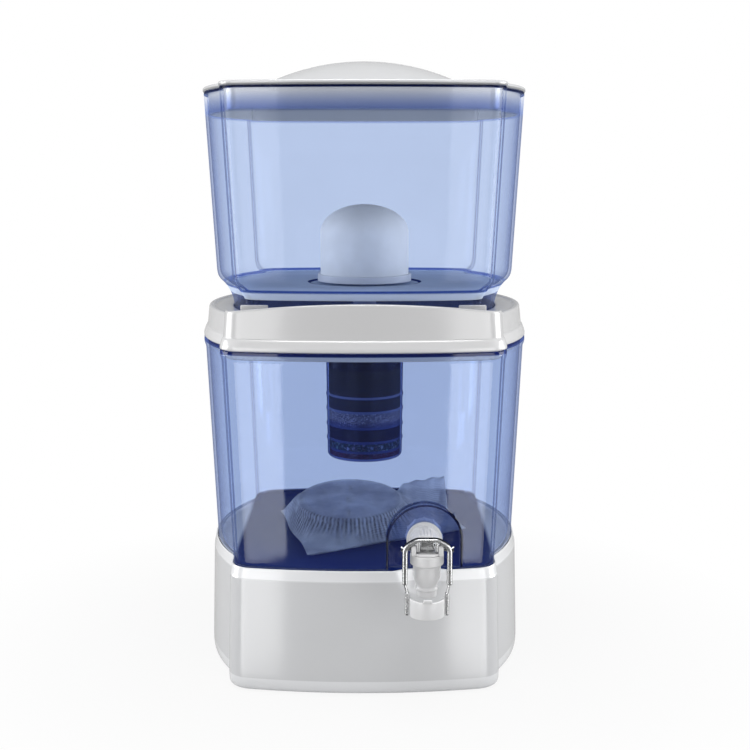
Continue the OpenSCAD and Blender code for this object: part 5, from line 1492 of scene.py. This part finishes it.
def make_lights():
    for side, sign in (("left", -1), ("right", 1)):
        make_softbox(f"softbox_{side}", sign * 38, 1.6, 0.16, (1.05, 1.34), 11.5)
    for side, sign in (("left", -1), ("right", 1)):
        make_softbox(f"side_{side}", sign * 96, 1.5, 0.45, (0.9, 0.9), 13.5)
    make_softbox("softbox_top", 0, 0.5, 3.0, (1.6, 1.6), 62)


def make_camera():
    """Camera with a focal length of 1244 pixels at 750 pixels wide, 9.4 degrees down."""
    data = bpy.data.cameras.new("camera")
    data.sensor_width, data.lens = 36.0, 59.72
    ob = bpy.data.objects.new("camera", data)
    ob.location = (0.0101, -1.200, 0.465)
    ob.rotation_euler = (math.radians(90 - PITCH), 0, 0)
    bpy.context.scene.collection.objects.link(ob)
    bpy.context.scene.camera = ob


# ---------------------------------------------------------------- operators and panel
class WATERFILTER_OT_stand(bpy.types.Operator):
    """Makes the stand with the scoop under the tap, and its rubber feet"""

    bl_idname = "water_filter.stand"
    bl_label = "Stand"

    def execute(self, context):
        make_stand()
        return {"FINISHED"}


class WATERFILTER_OT_tanks(bpy.types.Operator):
    """Makes the lower and the upper clear tank"""

    bl_idname = "water_filter.tanks"
    bl_label = "Tanks"

    def execute(self, context):
        make_lower_tank()
        make_upper_tank()
        return {"FINISHED"}


class WATERFILTER_OT_covers(bpy.types.Operator):
    """Makes the middle cover and the lid"""

    bl_idname = "water_filter.covers"
    bl_label = "Cover and lid"

    def execute(self, context):
        make_cover()
        make_lid()
        return {"FINISHED"}


class WATERFILTER_OT_filters(bpy.types.Operator):
    """Makes the ceramic dome and the layered cartridge"""

    bl_idname = "water_filter.filters"
    bl_label = "Dome and cartridge"

    def execute(self, context):
        make_dome()
        make_cartridge()
        return {"FINISHED"}


class WATERFILTER_OT_minerals(bpy.types.Operator):
    """Makes the mineral case and lets the mesh bag fall over it"""

    bl_idname = "water_filter.minerals"
    bl_label = "Mineral case and bag"

    def execute(self, context):
        make_case()
        make_bag()
        return {"FINISHED"}


class WATERFILTER_OT_tap(bpy.types.Operator):
    """Makes the tap with its bonnet, stem, lever and push plate"""

    bl_idname = "water_filter.tap"
    bl_label = "Tap"

    def execute(self, context):
        make_tap()
        make_bonnet()
        make_stem()
        make_spring()
        make_lever()
        make_push_plate()
        return {"FINISHED"}


class WATERFILTER_OT_stage(bpy.types.Operator):
    """Makes the worktop, the lights, the world and the camera"""

    bl_idname = "water_filter.stage"
    bl_label = "Stage"

    def execute(self, context):
        make_worktop()
        make_world()
        make_lights()
        make_camera()
        bpy.context.scene.view_settings.view_transform = "Standard"
        return {"FINISHED"}


class WATERFILTER_PT_panel(bpy.types.Panel):
    """Sizes, colours and buttons of the water filter"""

    bl_label = "Water filter"
    bl_idname = "WATERFILTER_PT_panel"
    bl_space_type = "VIEW_3D"
    bl_region_type = "UI"
    bl_category = "Water filter"

    def draw(self, context):
        for group in (context.scene.water_filter_sizes, context.scene.water_filter_colours):
            box = self.layout.box()
            for key in group.__annotations__:
                box.prop(group, key)
        for operator in OPERATORS:
            self.layout.operator(operator.bl_idname)


OPERATORS = (
    WATERFILTER_OT_stand, WATERFILTER_OT_tanks, WATERFILTER_OT_covers, WATERFILTER_OT_filters,
    WATERFILTER_OT_minerals, WATERFILTER_OT_tap, WATERFILTER_OT_stage,
)
CLASSES = (WaterFilterSizes, WaterFilterColours, *OPERATORS, WATERFILTER_PT_panel)


def register():
    for cls in CLASSES:
        bpy.utils.register_class(cls)
    bpy.types.Scene.water_filter_sizes = bpy.props.PointerProperty(type=WaterFilterSizes)
    bpy.types.Scene.water_filter_colours = bpy.props.PointerProperty(type=WaterFilterColours)


def unregister():
    del bpy.types.Scene.water_filter_colours
    del bpy.types.Scene.water_filter_sizes
    for cls in reversed(CLASSES):
        bpy.utils.unregister_class(cls)


def main():
    """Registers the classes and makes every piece."""
    register()
    bpy.ops.water_filter.stand()
    bpy.ops.water_filter.tanks()
    bpy.ops.water_filter.covers()
    bpy.ops.water_filter.filters()
    bpy.ops.water_filter.minerals()
    bpy.ops.water_filter.tap()
    bpy.ops.water_filter.stage()


if __name__ == "__main__":
    main()
